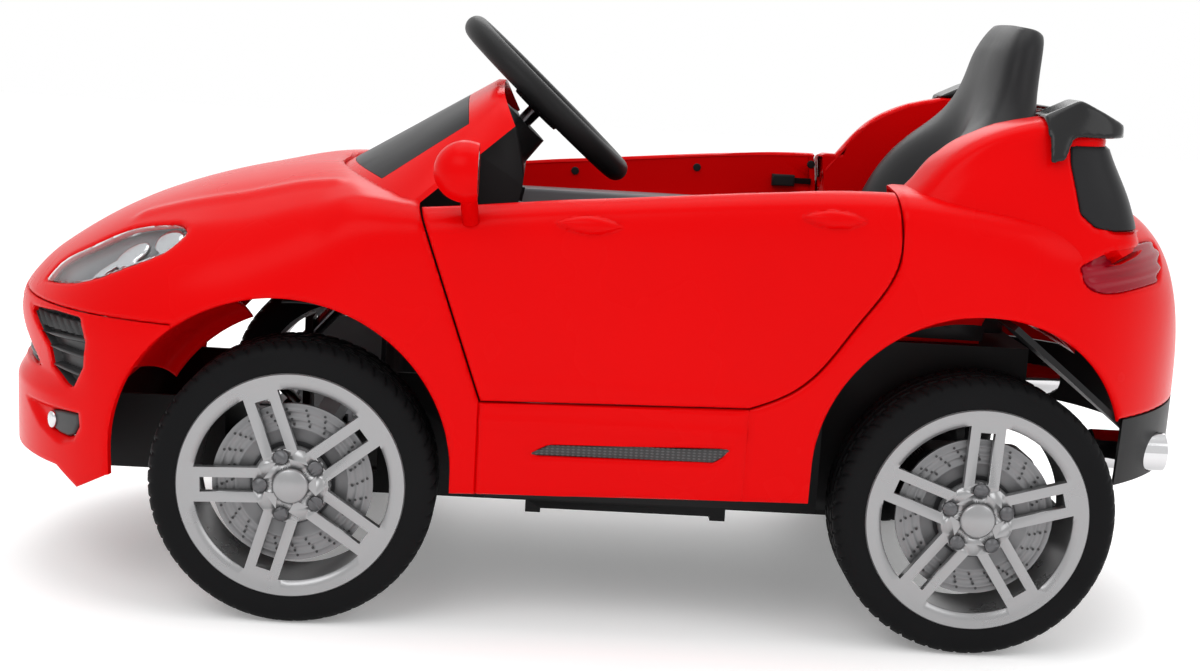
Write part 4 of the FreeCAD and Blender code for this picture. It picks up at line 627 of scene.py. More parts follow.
def skin(depth_of, span, turns=(-1, 1), wall=4.0, surface=lower_body, scale=LOWER_SCALE, relief=None,
         lift=0.0, roll=None, step=None):
    """Body panel: a part of the body's surface with its rolled edge and the wall behind it."""
    looks = bpy.context.scene.car_looks
    roll = looks.edge_round / MM if roll is None else roll
    step = step or looks.skin_step / MM
    points, quads, normal = cut_skin(surface, span, turns, scale, step, depth_of, roll, relief)
    return walled(points + normal * lift, quads, normal, wall)


def panel(name, node, finish, *shape, **more):
    """Body panel in place of a CAD node."""
    put(name, *skin(*shape, **more), node, finish=finish, angle=PANEL_ANGLE)


def join(*parts):
    """Several point and face sets as one."""
    starts = np.cumsum([0] + [len(points) for points, _ in parts])
    return (np.concatenate([points for points, _ in parts]),
            np.concatenate([faces + start for (_, faces), start in zip(parts, starts)]))


def lower_level(p):
    """Level of the lower body: zero on its outside, negative within."""
    x, y, z = p.T
    half, top, wide, power, tuck = lower_guides(np.clip((x - NOSE_X) / LENGTH, 0, 1))
    up = np.maximum((z - wide) / (top - wide), 0)
    fall = np.maximum((wide - z) / (wide - FLOOR), 0)
    out = np.abs(y) / (half * (1 - tuck * fall**2))
    return (out**power + up**power) ** (1 / power) - 1


def upper_level(p):
    """Level of the upper quarters: zero on their sides, negative within."""
    x, y, z = p.T
    middle, long, half = upper_guides(np.clip(z, UPPER_LOW, UPPER_TOP))
    return (((x - middle) / long) ** UPPER_POWER + (y / half) ** UPPER_POWER) ** (1 / UPPER_POWER) - 1


def inside_of(level, p):
    """Distance of points below a level surface, and the way out of it."""
    slope = np.stack([level(p + step) - level(p - step) for step in np.eye(3)], -1) / 2
    size = np.maximum(np.linalg.norm(slope, axis=-1, keepdims=True), 1e-9)
    return -level(p) / size[:, 0], slope / size


def inner_faces(node, tuck=2.4, reach=9.0, band=1.5, facing_up=0.7, facing_out=0.45, seam=5.0):
    """Faces of a CAD node that a panel doesn't cover, drawn in a little under the panel's edge."""
    mesh = merged(node)
    co = np.empty(len(mesh.vertices) * 3)
    mesh.vertices.foreach_get("co", co)
    co = co.reshape(-1, 3) / MM
    corners = np.array([face.vertices for face in mesh.polygons])
    facing = np.array([face.normal for face in mesh.polygons])
    middle = co[corners].mean(1)
    gone = (middle[:, 2] > UPPER_TOP - band) & (facing[:, 2] > facing_up)
    moved = co.copy()
    for level in (lower_level, upper_level):
        depth, out = inside_of(level, middle)
        gone |= (np.abs(depth) < reach) & ((facing * out).sum(1) > facing_out)
        depth, out = inside_of(level, co)
        push = np.where((depth > -reach) & (depth < tuck), tuck - depth, 0)
        if level is upper_level:
            push = np.where(co[:, 2] > COWL + seam, push, 0)
        moved -= out * push[:, None]
    moved[:, 2] = np.minimum(moved[:, 2], np.where(co[:, 2] > UPPER_TOP - band, UPPER_TOP - tuck, np.inf))
    bpy.data.meshes.remove(mesh)
    return moved, corners[~gone]


def ridge(p, line, height, width):
    """Soft ridge of a height along a line drawn in plan or side view, given as pairs."""
    a, b = p
    q = curve(line, 12)
    gap = np.min(np.hypot(a[:, None] - q[:, 0], b[:, None] - q[:, 1]), axis=1)
    return height * np.exp(-(gap / width) ** 2)


# Lines of the reliefs in plan or side view, and middles of the door handles in side view
BONNET_EDGE = [(-400, 150), (-344, 166), (-289, 178), (-238, 188)]
WING_CREST = [(-372, 205), (-300, 226), (-225, 236), (-170, 240)]
HANDLES = ((-21.1, 351.1), (177.0, 367.1))
HANDLE_LONG, HANDLE_HIGH, HANDLE_PROUD = 27.0, 7.0, 7.0
QUARTER_CREASE = [(251, 386), (271, 409), (297, 431), (318, 439), (350, 447)]
LAMP_RECESS = [(-505, 162), (-464, 164.5), (-441, 165), (-440, 150), (-448, 136), (-461, 131), (-484, 141)]
RECESS_DEEP, RECESS_SLOPE = 6.0, 5.0
# Set-back of the nose: depth, where it starts along the body, its length, and its heights
DIP, DIP_START, DIP_LONG, DIP_HEIGHTS = 8.0, -425.0, 70.0, [170.0, 191.0, 246.0]
# Vents: depths of rim and floor, height of the slats, upper band of fins, their pitch, lean and height
VENT_RIM, VENT_FLOOR, SLAT_PROUD = -3.0, -10.0, 8.5
FIN_BAND, FIN_PITCH, FIN_LEAN, FIN_FOOT, FIN_PROUD = (228.0, 243.5), 8.0, 0.55, -8.5, 6.0
# Slats of the vents: height at the nose end and the rear end, and half thickness
VENT_SLATS = ((224.4, 226.9, 2.8), (213.3, 212.3, 2.5), (197.7, 196.0, 2.5))
SLAT_ENDS, SLAT_TIP, SLAT_TAPER = [-483.0, -436.0], -490.0, 20.0
# Grille: depths of rim and floor, number of bars, their half thickness and height
GRILLE_RIM, GRILLE_FLOOR, GRILLE_BARS, BAR_HALF, BAR_PROUD = -3.0, -9.0, 4, 2.4, 6.0
BOWL_SLOPE = 2.0


def front_relief(p):
    """Soft ridges along the bonnet's edges and the wings' crests, fading out downward."""
    x, y, z = p.T
    high = np.clip((z - 300) / 20, 0, 1)
    plan = (x, np.abs(y))
    return high * (ridge(plan, BONNET_EDGE, 2.2, 9.0) + ridge(plan, WING_CREST, 1.6, 12.0))


def nose_dip(p):
    """Set-back of the nose above its lip: deepest just over the lip, running out upward and to the sides."""
    near = np.clip((DIP_START - p[:, 0]) / DIP_LONG, 0, 1)
    low = np.interp(p[:, 2], DIP_HEIGHTS, [0.0, 1.0, 0.0])
    return -DIP * near**2 * (3 - 2 * near) * low**2 * (3 - 2 * low)


def bumper_relief(p):
    """Recess round the fog lamp, sunk smoothly in from its outline, under the nose's set-back."""
    return nose_dip(p) - RECESS_DEEP * np.clip(side_depth(LAMP_RECESS, p) / RECESS_SLOPE, 0, 1)


def nose_fill(rows=24, cols=9, wall=4.0):
    """Patch under the middle of the nose: level lines between the two lower edges of the body's flat end,
    down to the bumper's under-edge."""
    middle = (FLOOR + TOP[0][1] * COWL) / 2
    start = (UNDER[0, 1] - FLOOR) / (middle - FLOOR) * -CAP
    run, across = np.meshgrid(np.linspace(-CAP + 1, start, rows), np.linspace(-1, 1, cols), indexing="ij")
    points = lower_body(run, np.ones_like(run))
    points[..., 1] *= across
    points = points.reshape(-1, 3)
    return walled(points, grid(rows, cols), np.broadcast_to((-1.0, 0.0, 0.0), points.shape), wall)


def vent_depth(p):
    """Depth inside the vent inserts."""
    return lamp_depth(p, VENT) - FIT


def vent_relief(p):
    """Vent: a sunk bowl with slanted fins across its upper band and three rounded slats, thin at the nose
    end."""
    x, z = p[:, 0], p[:, 2]
    height = VENT_RIM + (VENT_FLOOR - VENT_RIM) * np.clip(vent_depth(p) / BOWL_SLOPE, 0, 1)
    fin = 1 - np.abs(2 * (((x + FIN_LEAN * (z - 238.0)) / FIN_PITCH) % 1) - 1)
    band = np.clip((z - FIN_BAND[0]) / 2, 0, 1) * np.clip((FIN_BAND[1] - z) / 2, 0, 1)
    height = np.maximum(height, (FIN_FOOT + FIN_PROUD * fin) * band + VENT_FLOOR * (1 - band))
    for nose_z, rear_z, half in VENT_SLATS:
        thick = half * np.clip((x - SLAT_TIP) / SLAT_TAPER, 0.3, 1)
        away = (z - np.interp(x, SLAT_ENDS, [nose_z, rear_z])) / thick
        height = np.maximum(height, VENT_FLOOR + SLAT_PROUD * np.sqrt(np.clip(1 - away**2, 0, 1)))
    return height + nose_dip(p)


def grille_relief(p):
    """Grille: a sunk bowl crossed by level bars of a round section."""
    pitch = (GRILLE_HIGH - GRILLE_LOW) / GRILLE_BARS
    away = ((p[:, 2] - GRILLE_LOW) / pitch % 1 - 0.5) * pitch / BAR_HALF
    bowl = GRILLE_RIM + (GRILLE_FLOOR - GRILLE_RIM) * np.clip(grille_depth(p) / BOWL_SLOPE, 0, 1)
    bars = GRILLE_FLOOR + BAR_PROUD * np.sqrt(np.clip(1 - away**2, 0, 1))
    return np.maximum(bowl, bars) + nose_dip(p)


def door_relief(p):
    """Soft level ridge low on the doors, and two lens-shaped handles of a round section."""
    x, z = p[:, 0], p[:, 2]
    found = 0.8 * np.exp(-((z - 215) / 8.0) ** 2)
    for handle_x, handle_z in HANDLES:
        thin = np.clip(1 - ((x - handle_x) / HANDLE_LONG) ** 2, 0, 1)
        away = (z - handle_z) / (HANDLE_HIGH * thin + 0.01)
        found = found + HANDLE_PROUD * np.sqrt(thin * np.clip(1 - away**2, 0, 1))
    return found


def sill_relief(p):
    """Soft level ridge along the sills."""
    return 1.6 * np.exp(-((p[:, 2] - 184.0) / 5.0) ** 2)


def quarter_relief(p):
    """Raised crease behind the front edge of the upper quarters, on their outside alone."""
    crease = ridge((p[:, 0], p[:, 2]), QUARTER_CREASE, 3.0, 7.0)
    return np.where(np.abs(p[:, 1]) > 195.0, crease, 0.0)


def strip_depth(p):
    """Depth inside the sill strips."""
    return side_depth(TRIM, p) - FIT


def inset(outline, inner=LAMP_IN, gap=FIT):
    """Depth function of an insert that leaves a gap to its outline."""
    return lambda p: lamp_depth(p, outline, inner) - gap


class CAR_OT_body_panels(bpy.types.Operator):
    """Skin the bonnet, bumper, doors, sills, tail and quarters"""
    bl_idname = "car.body_panels"
    bl_label = "Body panels"

    def execute(self, context):
        panel("bonnet_and_wings", "front_body", "red", front_depth, (0.0, run_at(0.42)), relief=front_relief)
        bumper = skin(bumper_depth, (-CAP, run_at(0.18)), relief=bumper_relief, roll=1.0)
        put("bumper_skin", *join(bumper, nose_fill()), "front_bumper", finish="red", angle=PANEL_ANGLE)
        panel("vent_inserts", "side_vents", "vent", vent_depth, runs(0.02, 0.12), wall=1.0,
              relief=vent_relief, roll=0.3, step=1.1)
        panel("nose_grille", "front_grille", "vent", lambda p: grille_depth(p) - FIT, (-CAP, run_at(0.1)),
              wall=1.0, relief=grille_relief, roll=0.3, step=1.5)
        panel("sill_skins", "sills", "red", sill_depth, runs(0.39, 0.63), relief=sill_relief)
        panel("sill_strips", "sill_trims", "lattice", strip_depth, runs(0.42, 0.62), wall=1.0, roll=0.8,
              lift=-1.2)
        for side, sign in SIDES:
            node = "door_" + side
            turns = (-1, -0.05) if sign < 0 else (0.05, 1)
            panel(node + "_skin", node, "red", door_depth, runs(0.3, 0.74), turns, wall=2.0,
                  relief=door_relief, step=2.2)
            put(node + "_rim", *inner_faces(node), node, finish="red")
        panel("fog_blocks", "fog_lamps", "vent", inset(FOG), runs(0.04, 0.1), wall=2.0, roll=3.0, lift=-4.0,
              step=1.5)
        panel("tail_skin", "rear_body", "red", rear_depth, (run_at(0.6), RUN + CAP), wall=2.0)
        upper = {"turns": (0, 2 * np.pi), "surface": upper_body, "scale": UPPER_SCALE}
        panel("quarter_skin", "rear_body", "red", quarter_depth, (UPPER_LOW, UPPER_TOP + 150), wall=2.0,
              relief=quarter_relief, **upper)
        put("tail_inside", *inner_faces("rear_body"), "rear_body", finish="red")
        panel("rear_glass_skin", "rear_window", "screen", glass_depth, (UPPER_LOW, UPPER_TOP), wall=2.5,
              lift=0.6, **upper)
        return {"FINISHED"}


# Arch liners: arch, axle, radius clear of the tyre and span of angles
LINERS = (("front", ARCHES[0], FRONT_AXLE, 133.0, (112.0, 150.0)),
          ("rear", ARCHES[1], REAR_AXLE, 127.0, (84.0, 150.0)))
LINER_IN, LINER_OUT, SHEET = 150.0, 222.0, 0.002
# Wheel houses: drum radius, span of angles and of distances from the middle plane
HOUSE_RADIUS, HOUSE_SPAN, HOUSE_SIDE = 152.0, (8, 95), (123.5, 246)
# Ledges inside the sills: span along the body, across it and up
LEDGE_X, LEDGE_Y, LEDGE_Z = (-95.0, 150.0), (230.5, 251.0), (147.0, 150.0)
# Black bars of painted shade behind the door shut lines: shift from the door's front edge, heights, half
# length and span across
GAP_SHADE_SHIFT, GAP_SHADE_Z, GAP_SHADE_HALF, GAP_SHADE_Y = (-2.0, -9.0), (205.0, 335.0), 13, (209, 212)


def arch_liner(sign, arch, axle_x, clear, span):
    """Liner in the front part of a wheel arch: a sheet from just outside the tyre to the arch's edge, curving
    outward."""
    t, s = np.meshgrid(np.radians(np.linspace(*span, 40)), np.linspace(0, 1, 14), indexing="ij")
    arch_x, arch_z, radius = arch
    way = np.stack([np.cos(t), np.sin(t)], -1)
    inner = np.array((axle_x, AXLE_Z)) + clear * way
    outer = np.array((arch_x, arch_z)) + (radius + 1.0) * way
    flat = inner + (outer - inner) * s[..., None]
    side = sign * (LINER_IN + (LINER_OUT - LINER_IN) * s**2.5)
    points = np.stack([flat[..., 0], side, flat[..., 1]], -1)
    return points.reshape(-1, 3), handed(grid(40, 14), sign)


def wheel_house(sign):
    """Wall between footwell and front wheel: part of a drum about the axle, outside the tyre's sweep."""
    t, side = np.meshgrid(np.radians(np.linspace(*HOUSE_SPAN, 40)), np.linspace(*HOUSE_SIDE, 10),
                          indexing="ij")
    points = np.stack([FRONT_AXLE + HOUSE_RADIUS * np.cos(t), sign * side,
                       AXLE_Z + HOUSE_RADIUS * np.sin(t)], -1)
    return points.reshape(-1, 3), handed(grid(40, 10), sign)


def bar(ends):
    """Closed bar between two four-cornered ends. The sign of its volume turns its faces outward."""
    points = np.array(ends).reshape(-1, 3)
    faces = np.array([(0, 1, 5, 4), (1, 2, 6, 5), (2, 3, 7, 6), (3, 0, 4, 7), (3, 2, 1, 0), (4, 5, 6, 7)])
    volume = np.linalg.det(points[faces[:, :3]] - points.mean(0)).sum()
    return points, faces if volume > 0 else faces[:, ::-1]


def sill_ledge(sign):
    """Ledge that closes the space between the tub and a sill, below the door."""
    (inner, outer), (low, high) = LEDGE_Y, LEDGE_Z
    section = ((inner, low), (outer, low), (outer, high), (inner, high))
    return bar([[(x, sign * y, z) for y, z in section] for x in LEDGE_X])


def shut_gap_shade_bar(sign):
    """Black bar of painted shade behind a door's front shut line, dark where the gap lies in shade: a thin
    slanted bar beside the door post.
    """
    low, top = DOOR[0] + GAP_SHADE_SHIFT, DOOR[-1] + GAP_SHADE_SHIFT
    share = (np.array(GAP_SHADE_Z) - low[1]) / (top[1] - low[1])
    middle = low + (top - low) * share[:, None]
    inner, outer = GAP_SHADE_Y
    section = ((-GAP_SHADE_HALF, outer), (GAP_SHADE_HALF, outer), (GAP_SHADE_HALF, inner), (-GAP_SHADE_HALF, inner))
    return bar([[(x + a, sign * y, z) for a, y in section] for x, z in middle])


def thicken(piece):
    """Give a sheet its thickness."""
    piece.modifiers.new("wall", "SOLIDIFY").thickness = SHEET


class CAR_OT_hidden_trim(bpy.types.Operator):
    """Add the arch liners, wheel houses, sill ledges and the black bars of painted shade behind the door shut
    lines
    """
    bl_idname = "car.hidden_trim"
    bl_label = "Liners and gap shade"

    def execute(self, context):
        red = {"body": "car_body", "finish": "red", "slot": SLOT_OF["front_body"]}
        black = {"body": "car_body", "finish": "black", "slot": SLOT_OF["cabin_tub"]}
        for side, sign in SIDES:
            for end, *place in LINERS:
                thicken(put(f"{end}_liner_{side}", *arch_liner(sign, *place), **red))
            thicken(put("wheel_house_" + side, *wheel_house(sign), **black))
            put("sill_ledge_" + side, *sill_ledge(sign), **black)
            # black bar of painted shade behind the door's front shut line
            put("shut_gap_shade_bar_" + side, *shut_gap_shade_bar(sign), **black)
        return {"FINISHED"}


def turned(profile, count, centre):
    """Surface of revolution: a profile of (radius, place along the axle) pairs turned about the axle."""
    r, a = np.array(profile, float).T
    t = np.linspace(0, 2 * np.pi, count, endpoint=False)
    x = centre[0] + r[:, None] * np.cos(t)
    z = centre[2] + r[:, None] * np.sin(t)
    y = centre[1] + np.broadcast_to(a[:, None], x.shape)
    return np.stack([x, y, z], -1).reshape(-1, 3), grid(len(r), count, True)


# Tyre: shoulder as (radius, distance from its middle), tread radius and half width, grooves and sipes
SHOULDER = [(88, 33), (90, 34.6), (95, 35), (104, 35), (108, 34.9), (112, 34), (115.5, 32), (118, 29),
            (119.3, 25.5)]
TREAD_RADIUS, TREAD_HALF, TREAD_ROWS, TREAD_TURNS = 120.0, 23.5, 59, 900
GROOVES, GROOVE_HALF, GROOVE_DEEP = (-14, 0, 14), 2.6, 2.8
SIPES, SIPE_PITCH, SIPE_SLANT, SIPE_HALF, SIPE_DEEP, SIPE_SPAN = 60, 12.6, 24, 1.7, 2.0, (3.5, 32.5)


def tyre(centre):
    """Tyre: a turned section with a round shoulder, whose tread is cut by three grooves round it and by
    slanted sipes, both as a depth taken off the radius."""
    r0, a0 = np.array(SHOULDER).T
    r = np.concatenate([r0, np.full(TREAD_ROWS, TREAD_RADIUS), r0[::-1]])
    a = np.concatenate([a0, np.linspace(TREAD_HALF, -TREAD_HALF, TREAD_ROWS), -a0[::-1]])
    t = np.linspace(0, 2 * np.pi, TREAD_TURNS, endpoint=False)
    rr, tt = np.meshgrid(r, t, indexing="ij")
    aa = np.broadcast_to(a[:, None], rr.shape)
    side = np.abs(aa)
    groove = np.max([np.clip(GROOVE_HALF - np.abs(aa - s), 0, 1) for s in GROOVES], 0)
    wave = ((tt / (2 * np.pi) * SIPES + side / SIPE_SLANT) % 1 - 0.5) * SIPE_PITCH
    ends = np.clip((side - SIPE_SPAN[0]) / 1.5, 0, 1) * np.clip((SIPE_SPAN[1] - side) / 2, 0, 1)
    sipe = np.clip(SIPE_HALF - np.abs(wave), 0, 1) * ends
    rr = rr - np.maximum(groove * GROOVE_DEEP, sipe * SIPE_DEEP)
    p = np.stack([centre[0] + rr * np.cos(tt), centre[1] + aa, centre[2] + rr * np.sin(tt)], -1)
    radius, half = SHOULDER[0]
    bore, faces = turned([(radius, -half), (radius, half)], TREAD_TURNS, centre)
    return join((p.reshape(-1, 3), grid(len(r), TREAD_TURNS, True)[:, ::-1]), (bore, faces[:, ::-1]))


# Drilled disc, its holes shown as dark rounds of painted shade: rows, holes in a row, corners of a hole,
# first radius, spacing, slant, hole radius, height
HOLE_ROWS, HOLES, HOLE_CORNERS = 24, 4, 10
HOLE_FROM, HOLE_PITCH, HOLE_SLANT, HOLE_RADIUS, HOLE_PROUD = 50.0, 4.2, 0.035, 1.15, 0.25


def drilled(x, face_y, sign):
    """Drilled holes of a brake disc as painted shade: small dark flat rounds in slanted rows, just proud of
    its face, in place of the shade inside the holes.
    """
    row, place, turn = np.meshgrid(np.arange(HOLE_ROWS), np.arange(HOLES), np.arange(HOLE_CORNERS),
                                  indexing="ij")
    r = HOLE_FROM + place * HOLE_PITCH
    t = row * 2 * np.pi / HOLE_ROWS + place * HOLE_SLANT
    a = turn * 2 * np.pi / HOLE_CORNERS
    p = np.stack([x + r * np.cos(t) + HOLE_RADIUS * np.cos(a), np.full(r.shape, face_y + sign * HOLE_PROUD),
                  AXLE_Z + r * np.sin(t) + HOLE_RADIUS * np.sin(a)], -1)
    return p.reshape(-1, 3), handed(np.arange(p.size // 3).reshape(-1, HOLE_CORNERS), -sign)


# Bright spots in the lamps: middle along and up, half length, half height, tilt and lift
REFLECTORS = (("lamp_reflectors", -371.0, 317.0, 14.0, 8.0, 0.4, -6.5),
              ("side_reflectors", -404.0, 303.0, 17.0, 6.0, 0.6, -6.5),
              ("lamp_strips", -424.0, 290.0, 20.0, 2.2, 0.62, -6.5),
              ("fog_glasses", -473.5, 149.5, 8.0, 4.5, 1.5, -2.5))
RIB_HIGH, RIB_PITCH, RIB_LEAN = 1.2, 11.0, 0.1


def tail_ribs(p):
    """Level waves across the tail lamps."""
    return RIB_HIGH * np.cos(2 * np.pi * (p[:, 2] - RIB_LEAN * p[:, 0]) / RIB_PITCH)


def oval_spot(x, z, long, high, tilt):
    """Depth function of a tilted oval in side view, and its dome as a relief."""
    def spot(p):
        a, b = p[..., 0] - x, p[..., 2] - z
        along_it, across_it = a * np.cos(tilt) + b * np.sin(tilt), b * np.cos(tilt) - a * np.sin(tilt)
        inside = (1 - np.hypot(along_it / long, across_it / high)) * high
        return least(inside, np.abs(p[..., 1]) - LAMP_IN)

    return spot, lambda p: np.sqrt(np.clip(spot(p), 0, None)) * 1.2


class CAR_OT_lamps(bpy.types.Operator):
    """Skin the lamps"""
    bl_idname = "car.lamps"
    bl_label = "Lamps"

    def execute(self, context):
        span = runs(0.03, 0.19)
        panel("headlight_covers", "headlight_lenses", "clear", inset(HEADLIGHT), span, wall=1.2, roll=0.6)
        panel("headlight_bowls", "headlight_reflectors", "lamp_grey", inset(HEADLIGHT, 78.0, -1.5), span,
              wall=1.0, roll=0.5, lift=-9.0)
        for name, *oval, lift in REFLECTORS:
            spot, dome = oval_spot(*oval)
            put(name, *skin(spot, span, wall=1.0, roll=0.3, lift=lift, relief=dome, step=1.5),
                body="car_body", finish="chrome", angle=60, slot="chrome")
        panel("tail_lamp_lenses", "tail_lights", "tail", inset(TAIL_LAMP, TAIL_IN), runs(0.85, 0.97),
              wall=3.0, relief=tail_ribs)
        return {"FINISHED"}


# Wheel trims: outer radii of hub cap and bolts, and radii between which the disc's face lies
CAP_RADIUS, BOLT_RADIUS, DISC_FROM, DISC_TO = 17, 36, 45, 68


class CAR_OT_wheels(bpy.types.Operator):
    """Build the tyres and dress the rims and brake discs"""
    bl_idname = "car.wheels"
    bl_label = "Wheels"

    def execute(self, context):
        for end, x in (("front", FRONT_AXLE), ("rear", REAR_AXLE)):
            for side, sign in SIDES:
                name = f"{end}_{side}"
                centre = (x, sign * TRACK_HALF, AXLE_Z)
                put("tread_" + name, *tyre(centre), "tyre_" + name, finish="tyre", angle=60)
                shaped("rim_" + name, "silver")
                trim = shaped("wheel_trim_" + name, "disc").data
                for finish in ("silver", "bolt"):
                    trim.materials.append(FINISHES[finish])
                spots = np.array([v.co for v in trim.vertices]) / MM
                from_axle = np.hypot(spots[:, 0] - x, spots[:, 2] - AXLE_Z)
                for face in trim.polygons:
                    r = from_axle[list(face.vertices)].max()
                    face.material_index = 1 if r < CAP_RADIUS else 2 if r < BOLT_RADIUS else 0
                wide = (from_axle > DISC_FROM) & (from_axle < DISC_TO)
                outer = sign * np.max(sign * spots[wide, 1])
                # dark rounds of painted shade where the disc's holes are
                put("drilled_" + name, *drilled(x, outer, sign), body=BODY_OF["rim_" + name], finish="hole",
                    slot=SLOT_OF["tyre_" + name])
        return {"FINISHED"}


# Door liners: where the grey ledge starts, and screws with their head as (radius, height) pairs
LEDGE_IN = 0.2365
DOOR_SCREWS = ((-26.0, 357.0), (104.0, 368.0), (226.0, 378.0))
SCREW_HEAD = [(4.2, -0.5), (4.2, 1.2), (3.4, 1.9), (0.01, 2.0)]


class CAR_OT_door_inner(bpy.types.Operator):
    """Dress the inner faces of the doors"""
    bl_idname = "car.door_inner"
    bl_label = "Door inner faces"

    def execute(self, context):
        for side, sign in SIDES:
            mesh = shaped("door_liner_" + side, "red").data
            mesh.materials.append(FINISHES["grey"])
            for face in mesh.polygons:
                face.material_index = int(abs(face.center.y) < LEDGE_IN)
            points, faces = join(*(turned(SCREW_HEAD, 24, (x, 0.0, z)) for x, z in DOOR_SCREWS))
            points[:, 1] = sign * (DOOR_IN - points[:, 1])
            put("door_screws_" + side, points, handed(faces, -sign), body=BODY_OF["door_" + side],
                finish="black", slot="black_plastic")
        return {"FINISHED"}


# Headrest: height where its rounding starts, height of its top, half width, and how far its edges sink
REST_FROM, REST_TOP, REST_HALF, REST_SINK, REST_SIDE_SINK = 495.0, 520.0, 75.0, 9.0, 5.0


def round_headrest(mesh):
    """Round off the top of the headrest: points near it sink with their distance from its middle line."""
    co = np.empty(len(mesh.vertices) * 3)
    mesh.vertices.foreach_get("co", co)
    x, y, z = co.reshape(-1, 3).T / MM
    high = np.clip((z - REST_FROM) / (z.max() - REST_FROM), 0, 1)
    top = x[z > REST_TOP]
    along_it = np.clip(np.abs(2 * x - top.min() - top.max()) / np.ptp(top), 0, 1)
    across_it = np.clip(np.abs(y) / REST_HALF, 0, 1)
    z = z - high**2 * (REST_SINK * along_it**2.5 + REST_SIDE_SINK * across_it**3)
    mesh.vertices.foreach_set("co", (np.stack([x, y, z], -1) * MM).ravel())
    mesh.update()


# Pieces that keep the frame's own forms, by finish
KEPT = {
    "red": "windscreen_surround mirror_left mirror_right",
    "black": "dashboard rear_diffuser cabin_tub pedal power_switch direction_switch latch_left latch_right "
             "chassis rear_trays drive_units control_box horn_button battery steering_wheel",
    "seat": "seat",
    "screen": "windscreen",
    "silver": "steering_trim",
    "chrome": "exhaust_tips",
    "mirror": "mirror_glass_left mirror_glass_right",
    "steel": "front_axle_beam knuckle_left knuckle_right tie_rod steering_column rear_axle",
}
BLADE_VOXEL, BLADE_SOFT, BLADE_ROUNDS = 0.0022, 0.5, 14


class CAR_OT_frame_pieces(bpy.types.Operator):
    """Dress the pieces that keep the frame's own forms, and round the spoiler and the headrest"""
    bl_idname = "car.frame_pieces"
    bl_label = "Frame pieces"

    def execute(self, context):
        for finish, names in KEPT.items():
            for node in names.split():
                shaped(node, finish)
        blade = shaped("spoiler", "gloss_black", angle=80.0)
        even = blade.modifiers.new("even", "REMESH")
        even.mode, even.voxel_size, even.use_smooth_shade = "VOXEL", BLADE_VOXEL, True
        soft = blade.modifiers.new("soft", "SMOOTH")
        soft.factor, soft.iterations = BLADE_SOFT, BLADE_ROUNDS
        round_headrest(bpy.data.objects["seat_piece"].data)
        return {"FINISHED"}


# Studio in metres: floor, soft lights as place, size and share of the key's power, and what they face
FLOOR_HALF, WHITE, WORLD_LIT, WORLD_SEEN = 8, (1, 1, 1, 1), 0.85, 1.0
LIGHTS = (("key", (-1.2, -2.2, 2.4), (2.2, 1.4), 1.0), ("fill", (2.2, -1.6, 1.8), (1.6, 1.6), 0.5),
          ("top", (0.0, 0.3, 2.8), (2.6, 2.0), 1.1), ("back", (0.6, 2.4, 1.8), (2.4, 1.2), 0.6))
LIT_POINT = (0.0, 0.0, 0.25)
# Camera fitted to the photograph: place, turn to the right, pitch and roll in degrees, and sensor width
CAMERA_PLACE, CAMERA_TURN, SENSOR = (-0.0658, -1.7945, 0.5103), (2.165, -9.2195, 3.4195), 36.0


def placed(name, data, right, up, back, place):
    """Light or camera at a place, turned by its axes."""
    holder = bpy.data.objects.new(name, data)
    bpy.context.scene.collection.objects.link(holder)
    holder.matrix_world = Matrix([[right[i], up[i], back[i], place[i]] for i in range(3)] + [[0, 0, 0, 1]])
    return holder


def camera_axes(turn, pitch, roll):
    """Right, up and back axes of a camera that looks along +Y before it is turned, pitched and rolled."""
    a, b, c = np.radians((turn, pitch, roll))
    ahead = np.array((np.sin(a) * np.cos(b), np.cos(a) * np.cos(b), np.sin(b)))
    level = np.array((np.cos(a), -np.sin(a), 0.0))
    right = level * np.cos(c) + np.cross(level, ahead) * np.sin(c)
    return right, np.cross(right, ahead), -ahead


def white_world(tree):
    """White background for what is seen directly, in gloss or through glass, and a softer one as light."""
    tree.nodes.clear()
    mix = tree.nodes.new("ShaderNodeMixShader")
    for k, strength in ((1, WORLD_LIT), (2, WORLD_SEEN)):
        shade = tree.nodes.new("ShaderNodeBackground")
        shade.inputs["Color"].default_value = WHITE
        shade.inputs["Strength"].default_value = strength
        tree.links.new(shade.outputs["Background"], mix.inputs[k])
    path = tree.nodes.new("ShaderNodeLightPath")
    seen_by = path.outputs["Is Camera Ray"]
    for ray in ("Is Glossy Ray", "Is Transmission Ray"):
        either = tree.nodes.new("ShaderNodeMath")
        either.operation = "MAXIMUM"
        tree.links.new(seen_by, either.inputs[0])
        tree.links.new(path.outputs[ray], either.inputs[1])
        seen_by = either.outputs["Value"]
    tree.links.new(seen_by, mix.inputs["Fac"])
    out = tree.nodes.new("ShaderNodeOutputWorld")
    tree.links.new(mix.outputs["Shader"], out.inputs["Surface"])


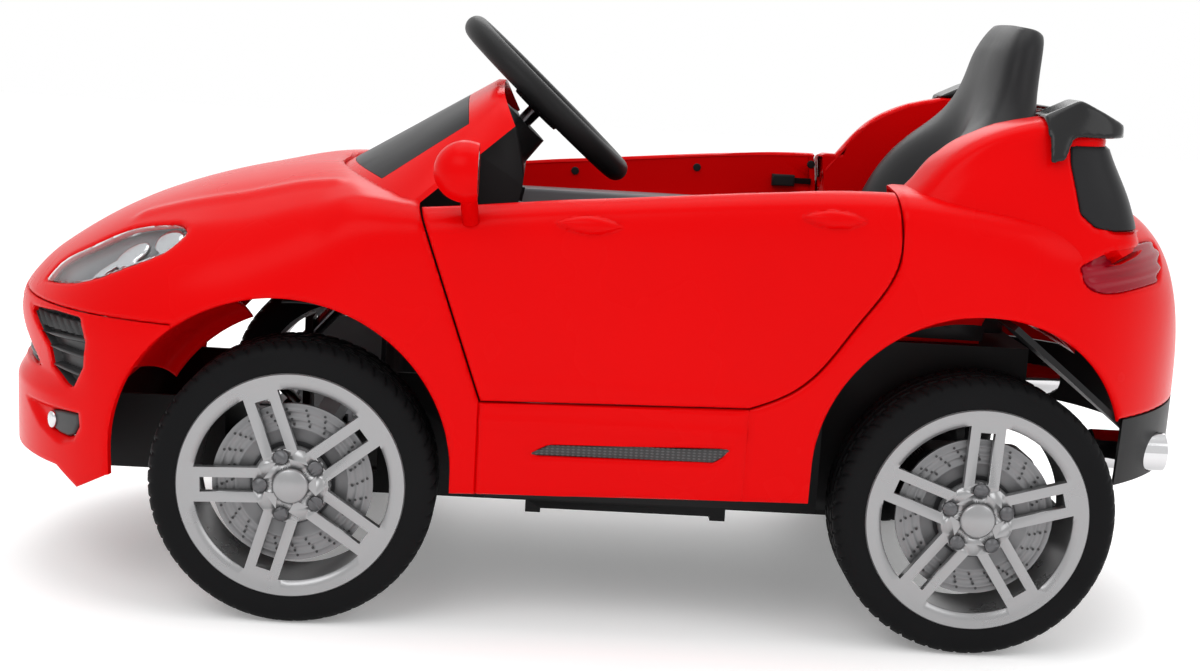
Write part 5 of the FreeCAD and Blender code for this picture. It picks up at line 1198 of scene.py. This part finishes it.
class CAR_OT_studio(bpy.types.Operator):
    """Build the floor, the lights and the camera"""
    bl_idname = "car.studio"
    bl_label = "Studio"

    def execute(self, context):
        scene = context.scene
        looks = scene.studio_looks
        scene.view_settings.view_transform = "Standard"
        mesh = bpy.data.meshes.new("floor")
        corners = [(a * FLOOR_HALF, b * FLOOR_HALF, 0) for a, b in ((-1, -1), (1, -1), (1, 1), (-1, 1))]
        mesh.from_pydata(corners, [], [(0, 1, 2, 3)])
        floor = bpy.data.objects.new("floor", mesh)
        scene.collection.objects.link(floor)
        ground = moulded("studio_floor", tuple(looks.floor_tone), 0.6, 300, 0.02, 2, 0.01)
        glow = ground.node_tree.nodes["Principled BSDF"]
        glow.inputs["Emission Color"].default_value = WHITE
        glow.inputs["Emission Strength"].default_value = looks.floor_glow
        mesh.materials.append(ground)
        scene.world = bpy.data.worlds.new("studio")
        scene.world.use_nodes = True
        white_world(scene.world.node_tree)
        for name, place, size, share in LIGHTS:
            lamp = bpy.data.lights.new(name, "AREA")
            lamp.shape = "RECTANGLE"
            lamp.size, lamp.size_y = size
            lamp.energy = looks.key_power * share
            back = np.array(place) - LIT_POINT
            back /= np.linalg.norm(back)
            right = np.cross((0.0, 0.0, 1.0), back)
            right /= np.linalg.norm(right)
            placed(name, lamp, right, np.cross(back, right), back, place)
        camera = bpy.data.cameras.new("camera")
        camera.lens, camera.sensor_width = looks.lens, SENSOR
        scene.camera = placed("camera", camera, *camera_axes(*CAMERA_TURN), CAMERA_PLACE)
        return {"FINISHED"}


class CAR_PT_panel(bpy.types.Panel):
    """Buttons that build the car's pieces and its studio"""
    bl_label = "Ride-on car"
    bl_idname = "CAR_PT_panel"
    bl_space_type = "VIEW_3D"
    bl_region_type = "UI"
    bl_category = "Ride-on car"

    def draw(self, context):
        for operator in OPERATORS:
            self.layout.operator(operator.bl_idname)


OPERATORS = (CAR_OT_body_panels, CAR_OT_hidden_trim, CAR_OT_lamps, CAR_OT_wheels, CAR_OT_door_inner,
             CAR_OT_frame_pieces, CAR_OT_studio)
CLASSES = (CarLooks, StudioLooks) + OPERATORS + (CAR_PT_panel,)


def register():
    """Make the settings, operators and panel known."""
    for item in CLASSES:
        bpy.utils.register_class(item)
    bpy.types.Scene.car_looks = bpy.props.PointerProperty(type=CarLooks)
    bpy.types.Scene.studio_looks = bpy.props.PointerProperty(type=StudioLooks)


def unregister():
    """Take the panel, operators and settings away again."""
    del bpy.types.Scene.studio_looks
    del bpy.types.Scene.car_looks
    for item in reversed(CLASSES):
        bpy.utils.unregister_class(item)


def main():
    register()
    make_finishes(bpy.context.scene.car_looks)
    bpy.ops.car.body_panels()
    bpy.ops.car.hidden_trim()
    bpy.ops.car.lamps()
    bpy.ops.car.wheels()
    bpy.ops.car.door_inner()
    bpy.ops.car.frame_pieces()
    bpy.ops.car.studio()


if __name__ == "__main__":
    main()
